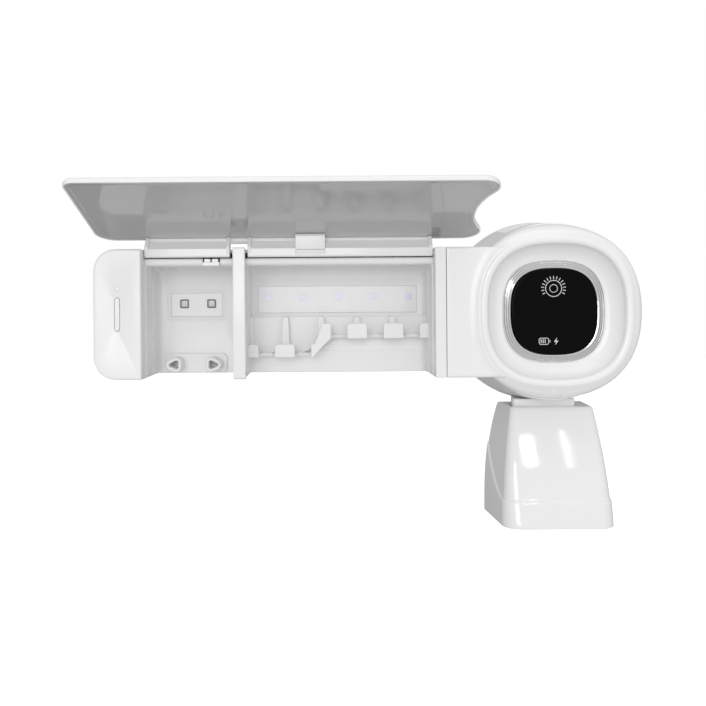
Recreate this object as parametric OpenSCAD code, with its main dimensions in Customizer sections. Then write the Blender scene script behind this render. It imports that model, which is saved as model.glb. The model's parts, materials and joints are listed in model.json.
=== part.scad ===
// Wall-mounted sanitizer for toothbrushes and a razor, with a toothpaste dispenser at its right end.
// X runs to the right, Y towards the wall, which is the plane Y = 0, and Z up.
// The origin is on the wall, at the middle of the width and the middle of the bays' height.
// The lid is drawn open, on its stop.

/* [Body] */
// Height of the bays
body_h = 71; // [59:1:86]
// Depth from the wall to the front faces
body_d = 52; // [50:1:63]
// Width of the chamber at the left end
chamber_w = 26; // [26:1:36]
// Width of the razor bay
razor_bay_w = 49.2; // [48:0.1:64]
// Width of the divider between the bays
divider_w = 6.8; // [5:0.1:10]
// Thickness of the bulkhead at the right of the brush bay
bulkhead_t = 6; // [5:0.5:9]
// Distance from the bulkhead to the head's rim
link_gap = 6.5; // [5:0.5:12]
// Thickness of the housing walls
wall_t = 2; // [1.6:0.1:2.4]
// Thickness of the back wall of the bays and of the rear cover
plate_t = 1.8; // [1.5:0.1:2.2]
// Space behind the bays for the light boards and the wiring
board_gap = 3.5; // [3.5:0.1:5]
// Gap between the wall and everything but the bracket
wall_gap = 0.4; // [0.3:0.1:1]
// Corner radius of the left end
end_r = 12; // [8:0.5:16]
// Height of the space between the roof and the ceiling of the bays
hinge_space = 6.8; // [6.6:0.1:9]
// Thickness of the ceiling of the bays
ceiling_t = 2; // [1.6:0.1:2.4]
// Radius of the rounded nose along the ceiling's front
nose_r = 2.1; // [1.8:0.1:2.4]

/* [Brush rack] */
// Brush slots on the low level
low_slots = 2; // [1:1:3]
// Brush slots on the high level
high_slots = 3; // [1:1:4]
// Distance between neighbouring brush slots
slot_pitch = 20.8; // [17:0.1:26]
// Width of one brush slot
slot_w = 9.4; // [8:0.1:11]
// Distance from the divider to the first slot's centre
first_slot = 10; // [8:0.5:12]
// Distance from the last slot's centre to the bulkhead
last_slot = 10.3; // [9:0.1:14]
// How far the rack stands out of the back wall
rack_reach = 18.5; // [16:0.5:24]
// Height of the low shelf above the bottom edge
low_shelf = 10.1; // [8:0.1:14]
// Height of the high shelf above the low one
shelf_rise = 10.5; // [8:0.5:14]
// Height of the lips on the low shelf
low_lip = 7.4; // [5:0.2:9]
// Height of the lips on the high shelf
high_lip = 8.6; // [5:0.2:9]
// Thickness of the rack's plates
rack_t = 2; // [1.6:0.1:2.4]

/* [Razor bay] */
// Clear width between the razor hook's two loops
razor_gap = 14; // [10:0.5:18]
// How far the razor hook stands out of the back wall
hook_reach = 14; // [10:0.5:20]
// Thickness of the razor hook's rims
rim_t = 2.4; // [2.4:0.2:4]
// Width of the razor bay's light panel
light_w = 34.5; // [30:0.5:40]
// Height of the razor bay's light panel
light_h = 16.6; // [12:0.2:20]

/* [Lid] */
// Distance from the front faces back to the hinge axis
hinge_back = 9; // [8:0.5:12]
// Distance from the roof's top down to the hinge axis
hinge_drop = 2.5; // [2.4:0.1:4]
// Radius of the hinge pins
pin_r = 1; // [0.8:0.1:1.4]
// Running clearance of the hinge and lever pins
pin_clear = 0.05; // [0.03:0.01:0.08]
// Thickness of the lid with its liner
lid_t = 3.2; // [2.6:0.1:4.5]
// Thickness of the liner
liner_t = 1.2; // [0.8:0.1:1.6]
// Gap between the closed lid and the front faces
lid_gap = 0.6; // [0.5:0.1:1]
// Angle that the lid opens through
open_angle = 107.8; // [60:0.2:108]
// Gap between the lid's cut-out and the head's ring
lid_head_gap = 4.6; // [3:0.2:8]

/* [Head] */
// Radius of the head at the wall
head_r = 53; // [50:1:64]
// How much smaller the head's radius is where its front cover starts
head_draft = 4; // [2:0.5:6]
// Width of the sloped shoulder around the head's front
shoulder_w = 6.8; // [5:0.2:9]
// How far the ring stands in front of the front faces
ring_rise = 2; // [1:0.2:3]
// Width of the ring's rounded top
ring_w = 4.9; // [4:0.1:7]
// Depth of the dish behind the front faces
dish_d = 6.5; // [5:0.5:8]
// Radius of the chrome bezel
bezel_r = 28; // [24:0.5:30]
// Radius of the display panel
panel_r = 23.5; // [18:0.5:23.5]
// Thickness of the display panel
panel_t = 2.8; // [2:0.2:4]
// Thickness of the head's shell
shell_t = 2.2; // [1.8:0.1:2.6]
// Width of the well for the toothpaste tube
well_w = 46; // [40:1:52]

/* [Dispenser] */
// Width of the neck under the head
neck_w = 36.5; // [34:0.5:42]
// Depth of the neck in front of the wall
neck_d = 25; // [24:0.5:30]
// Radius of the bore that takes the toothpaste tube's nozzle
nozzle_r = 5.2; // [4.5:0.1:6]
// Height of the shroud
shroud_h = 65; // [58:1:78]
// Width of the shroud at its bottom edge
shroud_w = 67.4; // [58:0.2:76]
// Depth of the shroud at its bottom edge
shroud_d = 46.5; // [44:0.5:58]
// Clearance around the shroud's neck opening
shroud_clear = 0.4; // [0.3:0.1:0.8]
// Angle that the brush lever can be pushed through
lever_angle = 8; // [4:1:9]

/* [Wall bracket] */
// Width of the wall bracket
bracket_w = 140; // [110:1:160]
// Height of the wall bracket
bracket_h = 40; // [34:1:42]
// Thickness of the wall bracket
bracket_t = 2; // [1.6:0.1:2]
// Thickness of the adhesive pads
pad_t = 0.5; // [0.4:0.1:0.5]
// Distance between the bracket's two hooks
hook_pitch = 90; // [80:1:100]
// Distance between the bracket's two screw holes
hole_pitch = 50; // [40:1:54]
// Radius of the bracket's screw holes
hole_r = 2.2; // [1.8:0.1:2.6]
// How far the unit is lifted to come off its hooks
lift = 7; // [6:0.5:8]

/* [Hidden] */
$fn = 64;
eps = 0.01;

// Planes across the depth
cover_back = -wall_gap;
cover_front = cover_back - plate_t;
floor_back = cover_front - board_gap;
floor_front = floor_back - plate_t;
front_y = -body_d;
skin_y = front_y + wall_t;

// Stations along the width, first from the left end and then centred
brush_bay_w = first_slot + (low_slots + high_slots - 1) * slot_pitch + last_slot;
unit_w = chamber_w + razor_bay_w + divider_w + brush_bay_w + bulkhead_t + link_gap + 2 * head_r;
left_x = -unit_w / 2;
razor_x = left_x + chamber_w;
divider_x = razor_x + razor_bay_w;
brush_x = divider_x + divider_w;
bulkhead_x = brush_x + brush_bay_w;
seam_x = bulkhead_x + bulkhead_t;
head_x = seam_x + link_gap + head_r;

// Heights
top_z = body_h / 2;
bottom_z = -body_h / 2;
roof_z = top_z - wall_t;
ceiling_z = top_z - wall_t - hinge_space;

// Hinge
hinge_y = front_y + hinge_back;
hinge_z = top_z - hinge_drop;
barrel_r = pin_r + 1;
roof_front = hinge_y + barrel_r + 1.6;
nose_y = hinge_y + 2;
nose_z = min(ceiling_z + nose_r - 0.2, hinge_z - barrel_r - nose_r - 0.3);
flange_gap = 0.5;

// Divider: its front laps over the bays' edges and stands behind the web of the closed lid
divider_lap = 1.1;
divider_left = divider_x + divider_lap;
divider_right = brush_x - divider_lap;
divider_front = front_y + 3.6;
divider_top = top_z + 0.7;
notch_back = -norm([divider_front - hinge_y, divider_top - hinge_z]) - 0.35;

// Lid
lid_in = front_y - lid_gap;
lid_out = lid_in - lid_t;
lid_over = 1;
lid_left = left_x - lid_over / 2;
lid_top = top_z + lid_over;
lid_bottom = bottom_z - 1.5 * lid_over;
lid_rim = 1;
rear_corner_r = 11;
free_corner_r = 6;
horn_r = 9.5;

// Head
head_front_r = head_r - head_draft;
head_seam = front_y + 10;
crest_r = head_front_r - shoulder_w;
dish_r = crest_r - ring_w;
dish_y = front_y + dish_d;
ring_y = front_y - ring_rise;
lid_arc_r = crest_r + lid_head_gap;
well_wall = 1.5;

well_front = front_y + 18.6;
panel_board = dish_y + 1.8 + 1.2;

// Dispenser
neck_back = cover_back - wall_t - shroud_clear;
axis_y = (neck_back - neck_d) / 2;
head_bottom = -head_r;
neck_bottom = head_bottom - 5;
shroud_top = head_bottom - 1.5;
shroud_bottom = shroud_top - shroud_h;
shroud_x = head_x + 3.5;
seal_r = nozzle_r + 3.3;
pump_w = 30;
pump_back = neck_back - 0.2;
pump_front = pump_back - 13;
pump_bottom = neck_bottom - 37;
lever_y = pump_front - 4;
lever_z = neck_bottom - 4;
lever_pin_r = 1.5;
lever_w = 18;
lever_t = 2;
bladder_r = 9;
bladder_z = neck_bottom - 22;

// Wall bracket and the recess that hides it
bracket_front = -pad_t - bracket_t;
recess_w = bracket_w + 1;
recess_top = bracket_h / 2 + 0.5;
recess_bottom = -bracket_h / 2 - lift - 1;
pan_t = 1.3;
pan_wall = 1.2;
pan_back = bracket_front - 0.2;
hook_w = 12;
hook_stem = 3;
hook_lip = 6;
hook_z = -9;
hook_t = 1.2;
well_back = pan_back - pan_t - 0.2 - well_wall;

// Fasteners
screw_r = 1.2;
screw_head_r = 2.6;
boss_r = 2.8;
screw_tip = cover_back - 4.6;
boss_low = bottom_z + 3.3;
boss_high = top_z - 4.9;
end_boss = [left_x + 6, top_z - 7];
head_boss_r = head_r - 4.4;
head_boss_angles = [45, -20, 235];
bay_boss_x = [razor_x + 8, brush_x + 49, bulkhead_x + bulkhead_t / 2];
bay_bosses = [for (x = bay_boss_x, z = [boss_low, boss_high]) [x, z]];
end_bosses = [for (z = [-1, 1]) [end_boss[0], z * end_boss[1]]];
head_bosses = [for (a = head_boss_angles) [head_x + head_boss_r * cos(a), head_boss_r * sin(a)]];

// Electronics
board_t = 1;
led_size = 4;
led_z = 6;
key_x = left_x + 13;
key_w = 2.7;
key_h = 18;
key_travel = 0.6;
key_proud = 0.3;
key_clear = 0.2;
key_rim = 1;
status_z = 13.8;
status_r = 1.3;
cell_r = 9.25;
cell_x = left_x + wall_t + 1.25 + cell_r;
cell_y = cover_front - 2.5 - cell_r;
cell_end_gap = 8.5;
ribbon_t = 0.8;
ribbon_z = [22.2, 27.2];
key_board = [skin_y + 5.2, skin_y + 3.6];
port_w = 9;
port_t = 3.2;
port_y = front_y + 12.4;

// Light panel and window
light_x = razor_x + 23.3;
light_z = 4.9;
light_pitch = 16.1;
window_x = [brush_x + 1, bulkhead_x - 2.5];
window_z = [-3, 18.3];
rebate = 2;
glaze_t = 0.7;
rack_top = -2.5;

// ---- Shapes used by several pieces ----

// A box given by its lowest and highest values along each axis
module box(x, y, z) {
    translate([x[0], y[0], z[0]]) cube([x[1] - x[0], y[1] - y[0], z[1] - z[0]]);
}

// An upright outline, drawn with X across and Z up, made solid from y0 to y1
module slab(y0, y1) {
    translate([0, y1, 0]) rotate([90, 0, 0]) linear_extrude(y1 - y0) children();
}

// A round bar along X, Y or Z
module bar_x(x, y, z, r) {
    translate([x[0], y, z]) rotate([0, 90, 0]) cylinder(h = x[1] - x[0], r = r);
}
module bar_y(x, y, z, r) {
    translate([x, y[0], z]) rotate([-90, 0, 0]) cylinder(h = y[1] - y[0], r = r);
}
module bar_z(x, y, z, r) {
    translate([x, y, z[0]]) cylinder(h = z[1] - z[0], r = r);
}

// A section about the hinge axis, drawn with Y across and Z up, made solid along X
module along_hinge(x) {
    translate([x[0], hinge_y, hinge_z]) rotate([90, 0, 90]) linear_extrude(x[1] - x[0]) children();
}

// A flat rectangle with round corners of radius r
module rounded(x, z, r) {
    translate([x[0] + r, z[0]]) square([x[1] - x[0] - 2 * r, z[1] - z[0]]);
    translate([x[0], z[0] + r]) square([x[1] - x[0], z[1] - z[0] - 2 * r]);
    for (cx = [x[0] + r, x[1] - r], cz = [z[0] + r, z[1] - r]) translate([cx, cz]) circle(r);
}

// A flat bar with round ends from p to q
module link_2d(p, q, r) {
    d = q - p;
    translate(p) circle(r);
    translate(q) circle(r);
    translate(p) rotate(atan2(d[1], d[0])) translate([0, -r]) square([norm(d), 2 * r]);
}

// The bays' outline with two round corners at the left, from the left end to x1
module end_outline(x1, inset) {
    r = end_r - inset;
    x0 = left_x + inset;
    z0 = bottom_z + inset;
    z1 = top_z - inset;
    translate([x0 + r, z0]) square([x1 - x0 - r, z1 - z0]);
    translate([x0, z0 + r]) square([r + eps, z1 - z0 - 2 * r]);
    for (z = [z0 + r, z1 - r]) translate([x0 + r, z]) circle(r);
}

// The head's tapering body as a solid, from the rear cover to the front cover's seam
function head_radius(y) = head_r - head_draft * (cover_back - y) / (cover_back - head_seam);
module head_solid(inset, y0, y1) {
    translate([head_x, y1, 0]) rotate([90, 0, 0])
        cylinder(h = y1 - y0, r1 = head_radius(y1) - inset, r2 = head_radius(y0) - inset);
}

// Parts of the lid are drawn closed and then swung open about the hinge
module opened() {
    translate([0, hinge_y, hinge_z]) rotate([-open_angle, 0, 0]) translate([0, -hinge_y, -hinge_z]) children();
}

// The lid's outline: two horns at the right run into a hollow arc around the head
module lid_outline(inset) {
    x0 = lid_left + inset;
    z0 = lid_bottom + inset;
    z1 = lid_top - inset;
    reach = lid_arc_r + horn_r;
    a = [head_x - sqrt(pow(reach, 2) - pow(lid_top - horn_r, 2)), lid_top - horn_r];
    b = [head_x - sqrt(pow(reach, 2) - pow(lid_bottom + horn_r, 2)), lid_bottom + horn_r];
    r1 = rear_corner_r - inset;
    r0 = free_corner_r - inset;
    difference() {
        union() {
            polygon([
                [x0, z0 + r0], [x0 + r0, z0], [b[0], z0], towards_head(b, horn_r - inset - 0.4),
                [head_x, 0], towards_head(a, horn_r - inset - 0.4), [a[0], z1], [x0 + r1, z1], [x0, z1 - r1]
            ]);
            translate([x0 + r1, z1 - r1]) circle(r1);
            translate([x0 + r0, z0 + r0]) circle(r0);
            for (p = [a, b]) translate(p) circle(horn_r - inset);
        }
        translate([head_x, 0]) circle(lid_arc_r + inset, $fn = 128);
    }
}
function towards_head(p, d) = p + d * ([head_x, 0] - p) / norm([head_x, 0] - p);

// Holes for the screws that close the back, and the screws' places
module screw_at(p, y0) {
    bar_y(p[0], [y0, cover_back], p[1], screw_r);
}
module screw_head(p, r) {
    translate([p[0], cover_back, p[1]]) rotate([90, 0, 0]) cylinder(h = 1.4, r1 = r, r2 = screw_r);
}

// ---- Wall mounting ----

module wall_bracket() color("gainsboro") {
    difference() {
        slab(bracket_front, -pad_t)
            rounded([-bracket_w / 2, bracket_w / 2], [-bracket_h / 2, bracket_h / 2], 4);
        for (s = [-1, 1]) {
            bar_y(s * hole_pitch / 2, [bracket_front - eps, -pad_t + eps], 0, hole_r);
            translate([s * hole_pitch / 2, bracket_front - eps, 0]) rotate([-90, 0, 0])
                cylinder(h = 1.2, r1 = hole_r + 1.6, r2 = hole_r);
        }
    }
    for (s = [-1, 1]) {
        x = [s * hook_pitch / 2 - hook_w / 2, s * hook_pitch / 2 + hook_w / 2];
        lip_back = pan_back - pan_t - 0.15;
        box(x, [lip_back - hook_t, bracket_front], [hook_z, hook_z + hook_stem]);
        box(x, [lip_back - hook_t, lip_back], [hook_z, hook_z + hook_stem + hook_lip]);
    }
}

module adhesive_pads() color("dimgray") {
    pad_h = bracket_h / 2 - 2;
    hole_x = hole_pitch / 2;
    for (x = [[-bracket_w / 2 + 2, -hole_x - 8], [-hole_x + 8, hole_x - 8], [hole_x + 8, bracket_w / 2 - 2]])
        slab(-pad_t, 0) rounded(x, [-pad_h, pad_h], 3);
}

module rear_cover() color("whitesmoke") {
    pan_x = [-recess_w / 2, recess_w / 2];
    pan_z = [recess_bottom, recess_top];
    difference() {
        union() {
            slab(cover_front, cover_back) end_outline(head_x, 0);
            bar_y(head_x, [cover_front, cover_back], 0, head_r);
            box([pan_x[0] - pan_wall, pan_x[1] + pan_wall], [pan_back - pan_t, cover_front],
                [pan_z[0] - pan_wall, pan_z[1] + pan_wall]);
        }
        box(pan_x, [pan_back, cover_back + eps], pan_z);
        for (s = [-1, 1])
            box([s * hook_pitch / 2 - hook_w / 2 - 0.5, s * hook_pitch / 2 + hook_w / 2 + 0.5],
                [pan_back - pan_t - eps, pan_back + eps], [hook_z - lift - 1, hook_z + hook_stem + 0.1]);
        for (p = concat(end_bosses, bay_bosses, head_bosses)) {
            screw_at(p, cover_front - eps);
            screw_head(p, screw_head_r);
        }
    }
}

module housing_screws() color("silver") {
    for (p = concat(end_bosses, bay_bosses, head_bosses)) {
        screw_at(p, screw_tip);
        screw_head(p, screw_head_r);
    }
}

// ---- Bays ----

// A boss on the back of a plate, with the hole that its screw cuts into
module boss(p, y0) {
    difference() {
        bar_y(p[0], [y0, cover_front], p[1], boss_r);
        bar_y(p[0], [screw_tip - 0.3, cover_front + eps], p[1], screw_r);
    }
}

module bay_housing() color("white") {
    wall_x = razor_x - wall_t;
    difference() {
        union() {
            box([wall_x, seam_x], [floor_front, floor_back], [bottom_z, top_z]);
            box([wall_x, seam_x], [roof_front, cover_front], [roof_z, top_z]);
            box([wall_x, seam_x], [floor_back, cover_front], [bottom_z, bottom_z + wall_t]);
            box([wall_x, razor_x], [skin_y, floor_back], [bottom_z, top_z]);
            box([bulkhead_x, seam_x], [front_y, floor_back], [bottom_z, top_z]);
            for (x = [[razor_x, divider_left - 0.1], [divider_right + 0.1, bulkhead_x]]) {
                box(x, [nose_y, floor_front], [ceiling_z, ceiling_z + ceiling_t]);
                bar_x(x, nose_y, nose_z, nose_r);
            }
        }
        for (x = [[wall_x - eps, razor_x + eps], [bulkhead_x - eps, bulkhead_x + 4]])
            bar_x(x, hinge_y, hinge_z, pin_r);
        box([bulkhead_x + wall_t, seam_x + eps], [front_y + wall_t, floor_back + eps],
            [bottom_z + wall_t, ceiling_z - 1]);
        sensor_space(0.1);
        glazing([light_x - light_w / 2, light_x + light_w / 2], [light_z - light_h / 2, light_z + light_h / 2]);
        glazing(window_x, window_z);
        for (p = bay_bosses) bar_y(p[0], [screw_tip - 0.3, cover_front + eps], p[1], screw_r);
    }
    for (p = bay_bosses) boss(p, floor_back);
}

// A rebate in the back wall that seats a thin panel, with an opening behind it
module glazing(x, z) {
    box(x, [floor_front - eps, floor_front + glaze_t + 0.1], z);
    box([x[0] + rebate, x[1] - rebate], [floor_front - eps, floor_back + eps], [z[0] + rebate, z[1] - rebate]);
}

module left_end_cover() color("white") {
    seam = razor_x - wall_t;
    difference() {
        union() {
            slab(front_y, cover_front) end_outline(seam, 0);
            slab(front_y, skin_y) end_outline(razor_x, 0);
        }
        difference() {
            slab(skin_y, cover_front + eps) end_outline(seam + 1, wall_t);
            for (p = end_bosses) bar_y(p[0], [screw_tip - 1, cover_front], p[1], boss_r);
        }
        for (p = end_bosses) bar_y(p[0], [screw_tip - 0.3, cover_front + eps], p[1], screw_r);
        slab(front_y - eps, skin_y + eps)
            rounded([key_x - key_w / 2 - key_clear, key_x + key_w / 2 + key_clear],
                [-key_h / 2 - key_clear, key_h / 2 + key_clear], key_w / 2 + key_clear - eps);
        bar_y(key_x, [front_y - eps, skin_y + eps], status_z, status_r);
        box([key_x - port_w / 2 - 0.2, key_x + port_w / 2 + 0.2], [port_y - 0.2, port_y + port_t + 0.2],
            [bottom_z - eps, bottom_z + wall_t + 1.5]);
    }
}

module divider_wall() color("white") {
    x = [divider_left, divider_right];
    cap_back = divider_front + 3.5;
    difference() {
        union() {
            box([divider_x, brush_x], [divider_front, cap_back], [bottom_z - 0.5, divider_top]);
            box(x, [cap_back - eps, floor_front], [bottom_z - 0.5, roof_z]);
            box(x, [cap_back - eps, roof_front - 0.3], [roof_z - eps, divider_top]);
        }
        box([x[0] + 1.2, x[1] - 1.2], [cap_back + 1, floor_front + eps], [bottom_z + 2, roof_z - 8]);
    }
}

// The rack is one moulding: a shelf on two levels with a slope between them, lips in front and ribs behind
module brush_rack() color("white") {
    x0 = divider_right + 0.3;
    x1 = bulkhead_x - 0.3;
    low_z = bottom_z + low_shelf;
    high_z = low_z + shelf_rise;
    step_1 = slot_x(low_slots) - slot_w / 2 - 0.8;
    step_0 = slot_x(low_slots - 1) + slot_w / 2;
    rack_front = floor_front - rack_reach;
    plate_front = floor_front - rack_t;
    difference() {
        union() {
            slab(rack_front, floor_front) polygon([
                [x0, low_z], [step_0, low_z], [step_1, high_z], [x1, high_z],
                [x1, high_z + rack_t], [step_1 - 1, high_z + rack_t],
                [step_0 - 1, low_z + rack_t], [x0, low_z + rack_t]
            ]);
            slab(rack_front, rack_front + rack_t) polygon([
                [x0, low_z], [step_0, low_z], [step_1, high_z], [x1, high_z],
                [x1, high_z + high_lip], [step_1 - 2, high_z + high_lip],
                [step_0 - 2, low_z + low_lip], [x0, low_z + low_lip]
            ]);
            slab(plate_front, floor_front) polygon([
                [x0, low_z], [step_0, low_z], [step_1, high_z], [x1, high_z], [x1, rack_top], [x0, rack_top]
            ]);
            for (i = [0 : low_slots + high_slots])
                box([rib_x(i) - 2, rib_x(i) + 2], [plate_front - 6, floor_front],
                    [(i <= low_slots - 1 ? low_z : high_z) + eps, rack_top]);
        }
        for (i = [0 : low_slots + high_slots - 1]) {
            round_y = plate_front - 6 - slot_w / 2;
            box([slot_x(i) - slot_w / 2, slot_x(i) + slot_w / 2], [rack_front - eps, round_y],
                [bottom_z, rack_top + 1]);
            bar_z(slot_x(i), round_y, [bottom_z, rack_top + 1], slot_w / 2);
        }
    }
}
function slot_x(i) = brush_x + first_slot + i * slot_pitch;
function rib_x(i) = min(max(slot_x(i) - slot_pitch / 2, divider_right + 2.3), bulkhead_x - 2.5);

// The razor hook is a bridge on the back wall with a looped arm at each side of the handle
module razor_hook() color("white") {
    front = floor_front - hook_reach;
    r = rim_t / 2;
    low = bottom_z + 0.2 + r;
    top = bottom_z + 11.8 - r;
    slab(floor_front - 2.4, floor_front)
        rounded([light_x - razor_gap / 2 - 11.2, light_x + razor_gap / 2 + 11.2], [low - r, top + r], 3);
    for (s = [-1, 1]) slab(front, floor_front - 2.4) {
        inner_top = [light_x + s * (razor_gap / 2 + r), top];
        inner_low = [light_x + s * (razor_gap / 2 + r), low];
        outer = [light_x + s * (razor_gap / 2 + 10), (top + low) / 2 - 0.5];
        link_2d(inner_top, inner_low, r);
        link_2d(inner_low, outer, r);
        link_2d(outer, inner_top, r);
    }
}

// ---- Lights and electronics ----

module razor_panel() color("lightgray") {
    x = [light_x - light_w / 2 + 0.1, light_x + light_w / 2 - 0.1];
    z = [light_z - light_h / 2 + 0.1, light_z + light_h / 2 - 0.1];
    difference() {
        box(x, [floor_front + 0.1, floor_front + 0.1 + glaze_t], z);
        for (s = [-1, 1]) razor_led(s, 0.2);
    }
}

module razor_led(side, gap) {
    x = light_x + side * light_pitch / 2;
    half = led_size / 2 + gap;
    box([x - half, x + half], [floor_front + 0.2 - gap, floor_back + 0.1], [led_z - half, led_z + half]);
}

module razor_uv_leds() color("lavender") {
    for (s = [-1, 1]) razor_led(s, 0);
}

module razor_uv_board() color("darkgreen") {
    box([light_x - light_w / 2 + rebate + 1, light_x + light_w / 2 - rebate - 1],
        [floor_back + 0.1, floor_back + 0.1 + board_t], [led_z - 5.5, led_z + 5.5]);
}

module uv_window() color("lightgray") {
    box([window_x[0] + 0.1, window_x[1] - 0.1], [floor_front + 0.1, floor_front + 0.1 + glaze_t],
        [window_z[0] + 0.1, window_z[1] - 0.1]);
}

module brush_uv_leds() color("lavender") {
    for (i = [0 : low_slots + high_slots - 1])
        box([slot_x(i) - led_size / 2, slot_x(i) + led_size / 2],
            [floor_front + glaze_t + 0.3, floor_back + 0.1], [led_z + 1, led_z + 1 + led_size]);
}

module brush_uv_board() color("darkgreen") {
    box([window_x[0] + rebate + 1, window_x[1] - rebate - 1], [floor_back + 0.1, floor_back + 0.1 + board_t],
        [led_z - 3, led_z + 8]);
}

// The lid sensor sits in a gap in the ceiling's nose
module sensor_space(gap) {
    x = razor_x + 37;
    box([x - 4.6 - gap, x + 4.6 + gap], [nose_y - 3 - gap, nose_y + nose_r + 0.5 + gap],
        [ceiling_z - 0.3 - gap, nose_z + nose_r - 0.4 + gap]);
}

module lid_sensor() color("whitesmoke") {
    sensor_space(0);
}

module status_led() color("white") {
    bar_y(key_x, [front_y, key_board[1]], status_z, status_r - 0.05);
}

module button_board() color("darkgreen") {
    half = key_w / 2 + 6.5;
    box([key_x - half, key_x + half], [key_board[1], key_board[0]], [-14, 18]);
    switch_front = skin_y + key_rim + key_travel + 0.2;
    box([key_x - 3, key_x + 3], [switch_front, key_board[1]], [-3, 3]);
}

module mode_button() color("white") {
    slab(front_y - key_proud, skin_y + eps) rounded([key_x - key_w / 2, key_x + key_w / 2],
        [-key_h / 2, key_h / 2], key_w / 2 - eps);
    slab(skin_y + eps, skin_y + key_rim) rounded([key_x - key_w / 2 - 1, key_x + key_w / 2 + 1],
        [-key_h / 2 - 1, key_h / 2 + 1], key_w / 2 + 0.5);
}

module battery_cell() color("royalblue") {
    half = top_z - wall_t - cell_end_gap;
    bar_z(cell_x, cell_y, [-half, half - 1], cell_r);
    bar_z(cell_x, cell_y, [half - 1, half], 3);
}

module battery_cradle() color("gray") {
    half = top_z / 2;
    difference() {
        box([left_x + wall_t + 0.2, razor_x - wall_t - 0.2], [cell_y, cover_front], [-half, half]);
        bar_z(cell_x, cell_y, [-half - eps, half + eps], cell_r + 0.1);
    }
}

module charge_port() color("silver") {
    x = [key_x - port_w / 2, key_x + port_w / 2];
    difference() {
        box(x, [port_y, port_y + port_t], [bottom_z + 0.3, bottom_z + 8]);
        box([x[0] + 0.4, x[1] - 0.4], [port_y + 0.4, port_y + port_t - 0.4], [bottom_z, bottom_z + 6.5]);
    }
    box([key_x - 3, key_x + 3], [port_y + port_t / 2 - 0.35, port_y + port_t / 2 + 0.35],
        [bottom_z + 1.5, bottom_z + 6.6]);
    box([x[0] - 3, x[1] + 3], [port_y - 0.5, port_y + port_t + 4], [bottom_z + 8, bottom_z + 9]);
}

// The flat ribbon runs from the key board, behind the bays, to the control board
module ribbon_cable() color("lightgray") {
    x0 = razor_x - wall_t - 0.6;
    x1 = head_x - well_w / 2 - well_wall - 2.5;
    y = [floor_back + 1.1, floor_back + 1.1 + ribbon_t];
    box([x0 - ribbon_t, x1], y, ribbon_z);
    box([x0 - ribbon_t, x0], [key_board[1], y[0]], ribbon_z);
    box([key_x + key_w / 2 + 6.6, x0], [key_board[1], key_board[1] + ribbon_t], [ribbon_z[0] - 9, ribbon_z[1]]);
    box([x1 - ribbon_t, x1], [panel_board, y[0]], ribbon_z);
    box([x1, head_x - 20], [panel_board, panel_board + ribbon_t], [ribbon_z[0] - 9, ribbon_z[1]]);
}

// ---- Lid ----

module hinge_pins() color("silver") {
    bar_x([razor_x - wall_t, razor_x + 7], hinge_y, hinge_z, pin_r);
    bar_x([bulkhead_x - 7, bulkhead_x + 4], hinge_y, hinge_z, pin_r);
}

module lid_shell() color("white") opened() {
    difference() {
        slab(lid_out, lid_in) lid_outline(0);
        slab(lid_in - liner_t, lid_in + eps) lid_outline(lid_rim);
    }
}

module lid_liner() color("darkgray") opened() {
    slab(lid_in - liner_t, lid_in) lid_outline(lid_rim + 0.05);
}

// The frame's sections about the hinge axis, with the lid closed. A sloping web runs from the foot on the liner
// to a flat-faced block around the pins, which stands out from the web by a small step.
foot_t = 1.4;
foot_y = foot_t - lid_gap - hinge_back;
foot_z = [0.7, 3.2];
web_low = 0.9;
web_top = 2.2;
step_back = [-2.2, -2.4];
step_front = [-2.05, -2.75];
block_low = [1.75, -1.55];
gusset_t = 2;

module lid_hinge_frame() color("white") opened() {
    x = [razor_x + flange_gap, bulkhead_x - flange_gap];
    notch = [divider_x - 1.8, brush_x + 1.2];
    difference() {
        union() {
            along_hinge(x) translate([foot_y - foot_t, foot_z[0]]) square([foot_t, foot_z[1] - foot_z[0]]);
            along_hinge(x) polygon([
                [foot_y - eps, web_low], step_back, step_front, block_low, [2.25, -0.6], [1.6, 1.45],
                [-0.75, web_top], [foot_y - eps, web_top]
            ]);
            for (s = [x[0], notch[0] - gusset_t, notch[1], x[1] - gusset_t])
                along_hinge([s, s + gusset_t]) polygon([
                    [foot_y - foot_t, -0.6], [-3, -3.3], [-1, -3], [0.6, -2.3], [0.5, -1], [foot_y, 1],
                    [foot_y - foot_t, 1]
                ]);
        }
        along_hinge(notch) translate([notch_back, -4]) square([3 - notch_back, web_top + 5]);
        for (p = [[x[0] - 1, x[0] + 7.5], [x[1] - 7.5, x[1] + 1]])
            bar_x(p, hinge_y, hinge_z, pin_r + pin_clear);
    }
}

// The stay clip is a thumb block on the liner and the front of the web
module lid_stay_clip() color("white") opened() {
    along_hinge([brush_x + 27.6, brush_x + 43.9]) polygon([
        [foot_y - foot_t, -5.2], [foot_y + 0.3, -5.9], [-1, -3.35], [1.3, -1.95], [1.2, -1.76],
        step_front, step_back, [foot_y, web_low], [foot_y, foot_z[0]], [foot_y - foot_t, foot_z[0]]
    ]);
}

// ---- Head ----

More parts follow.
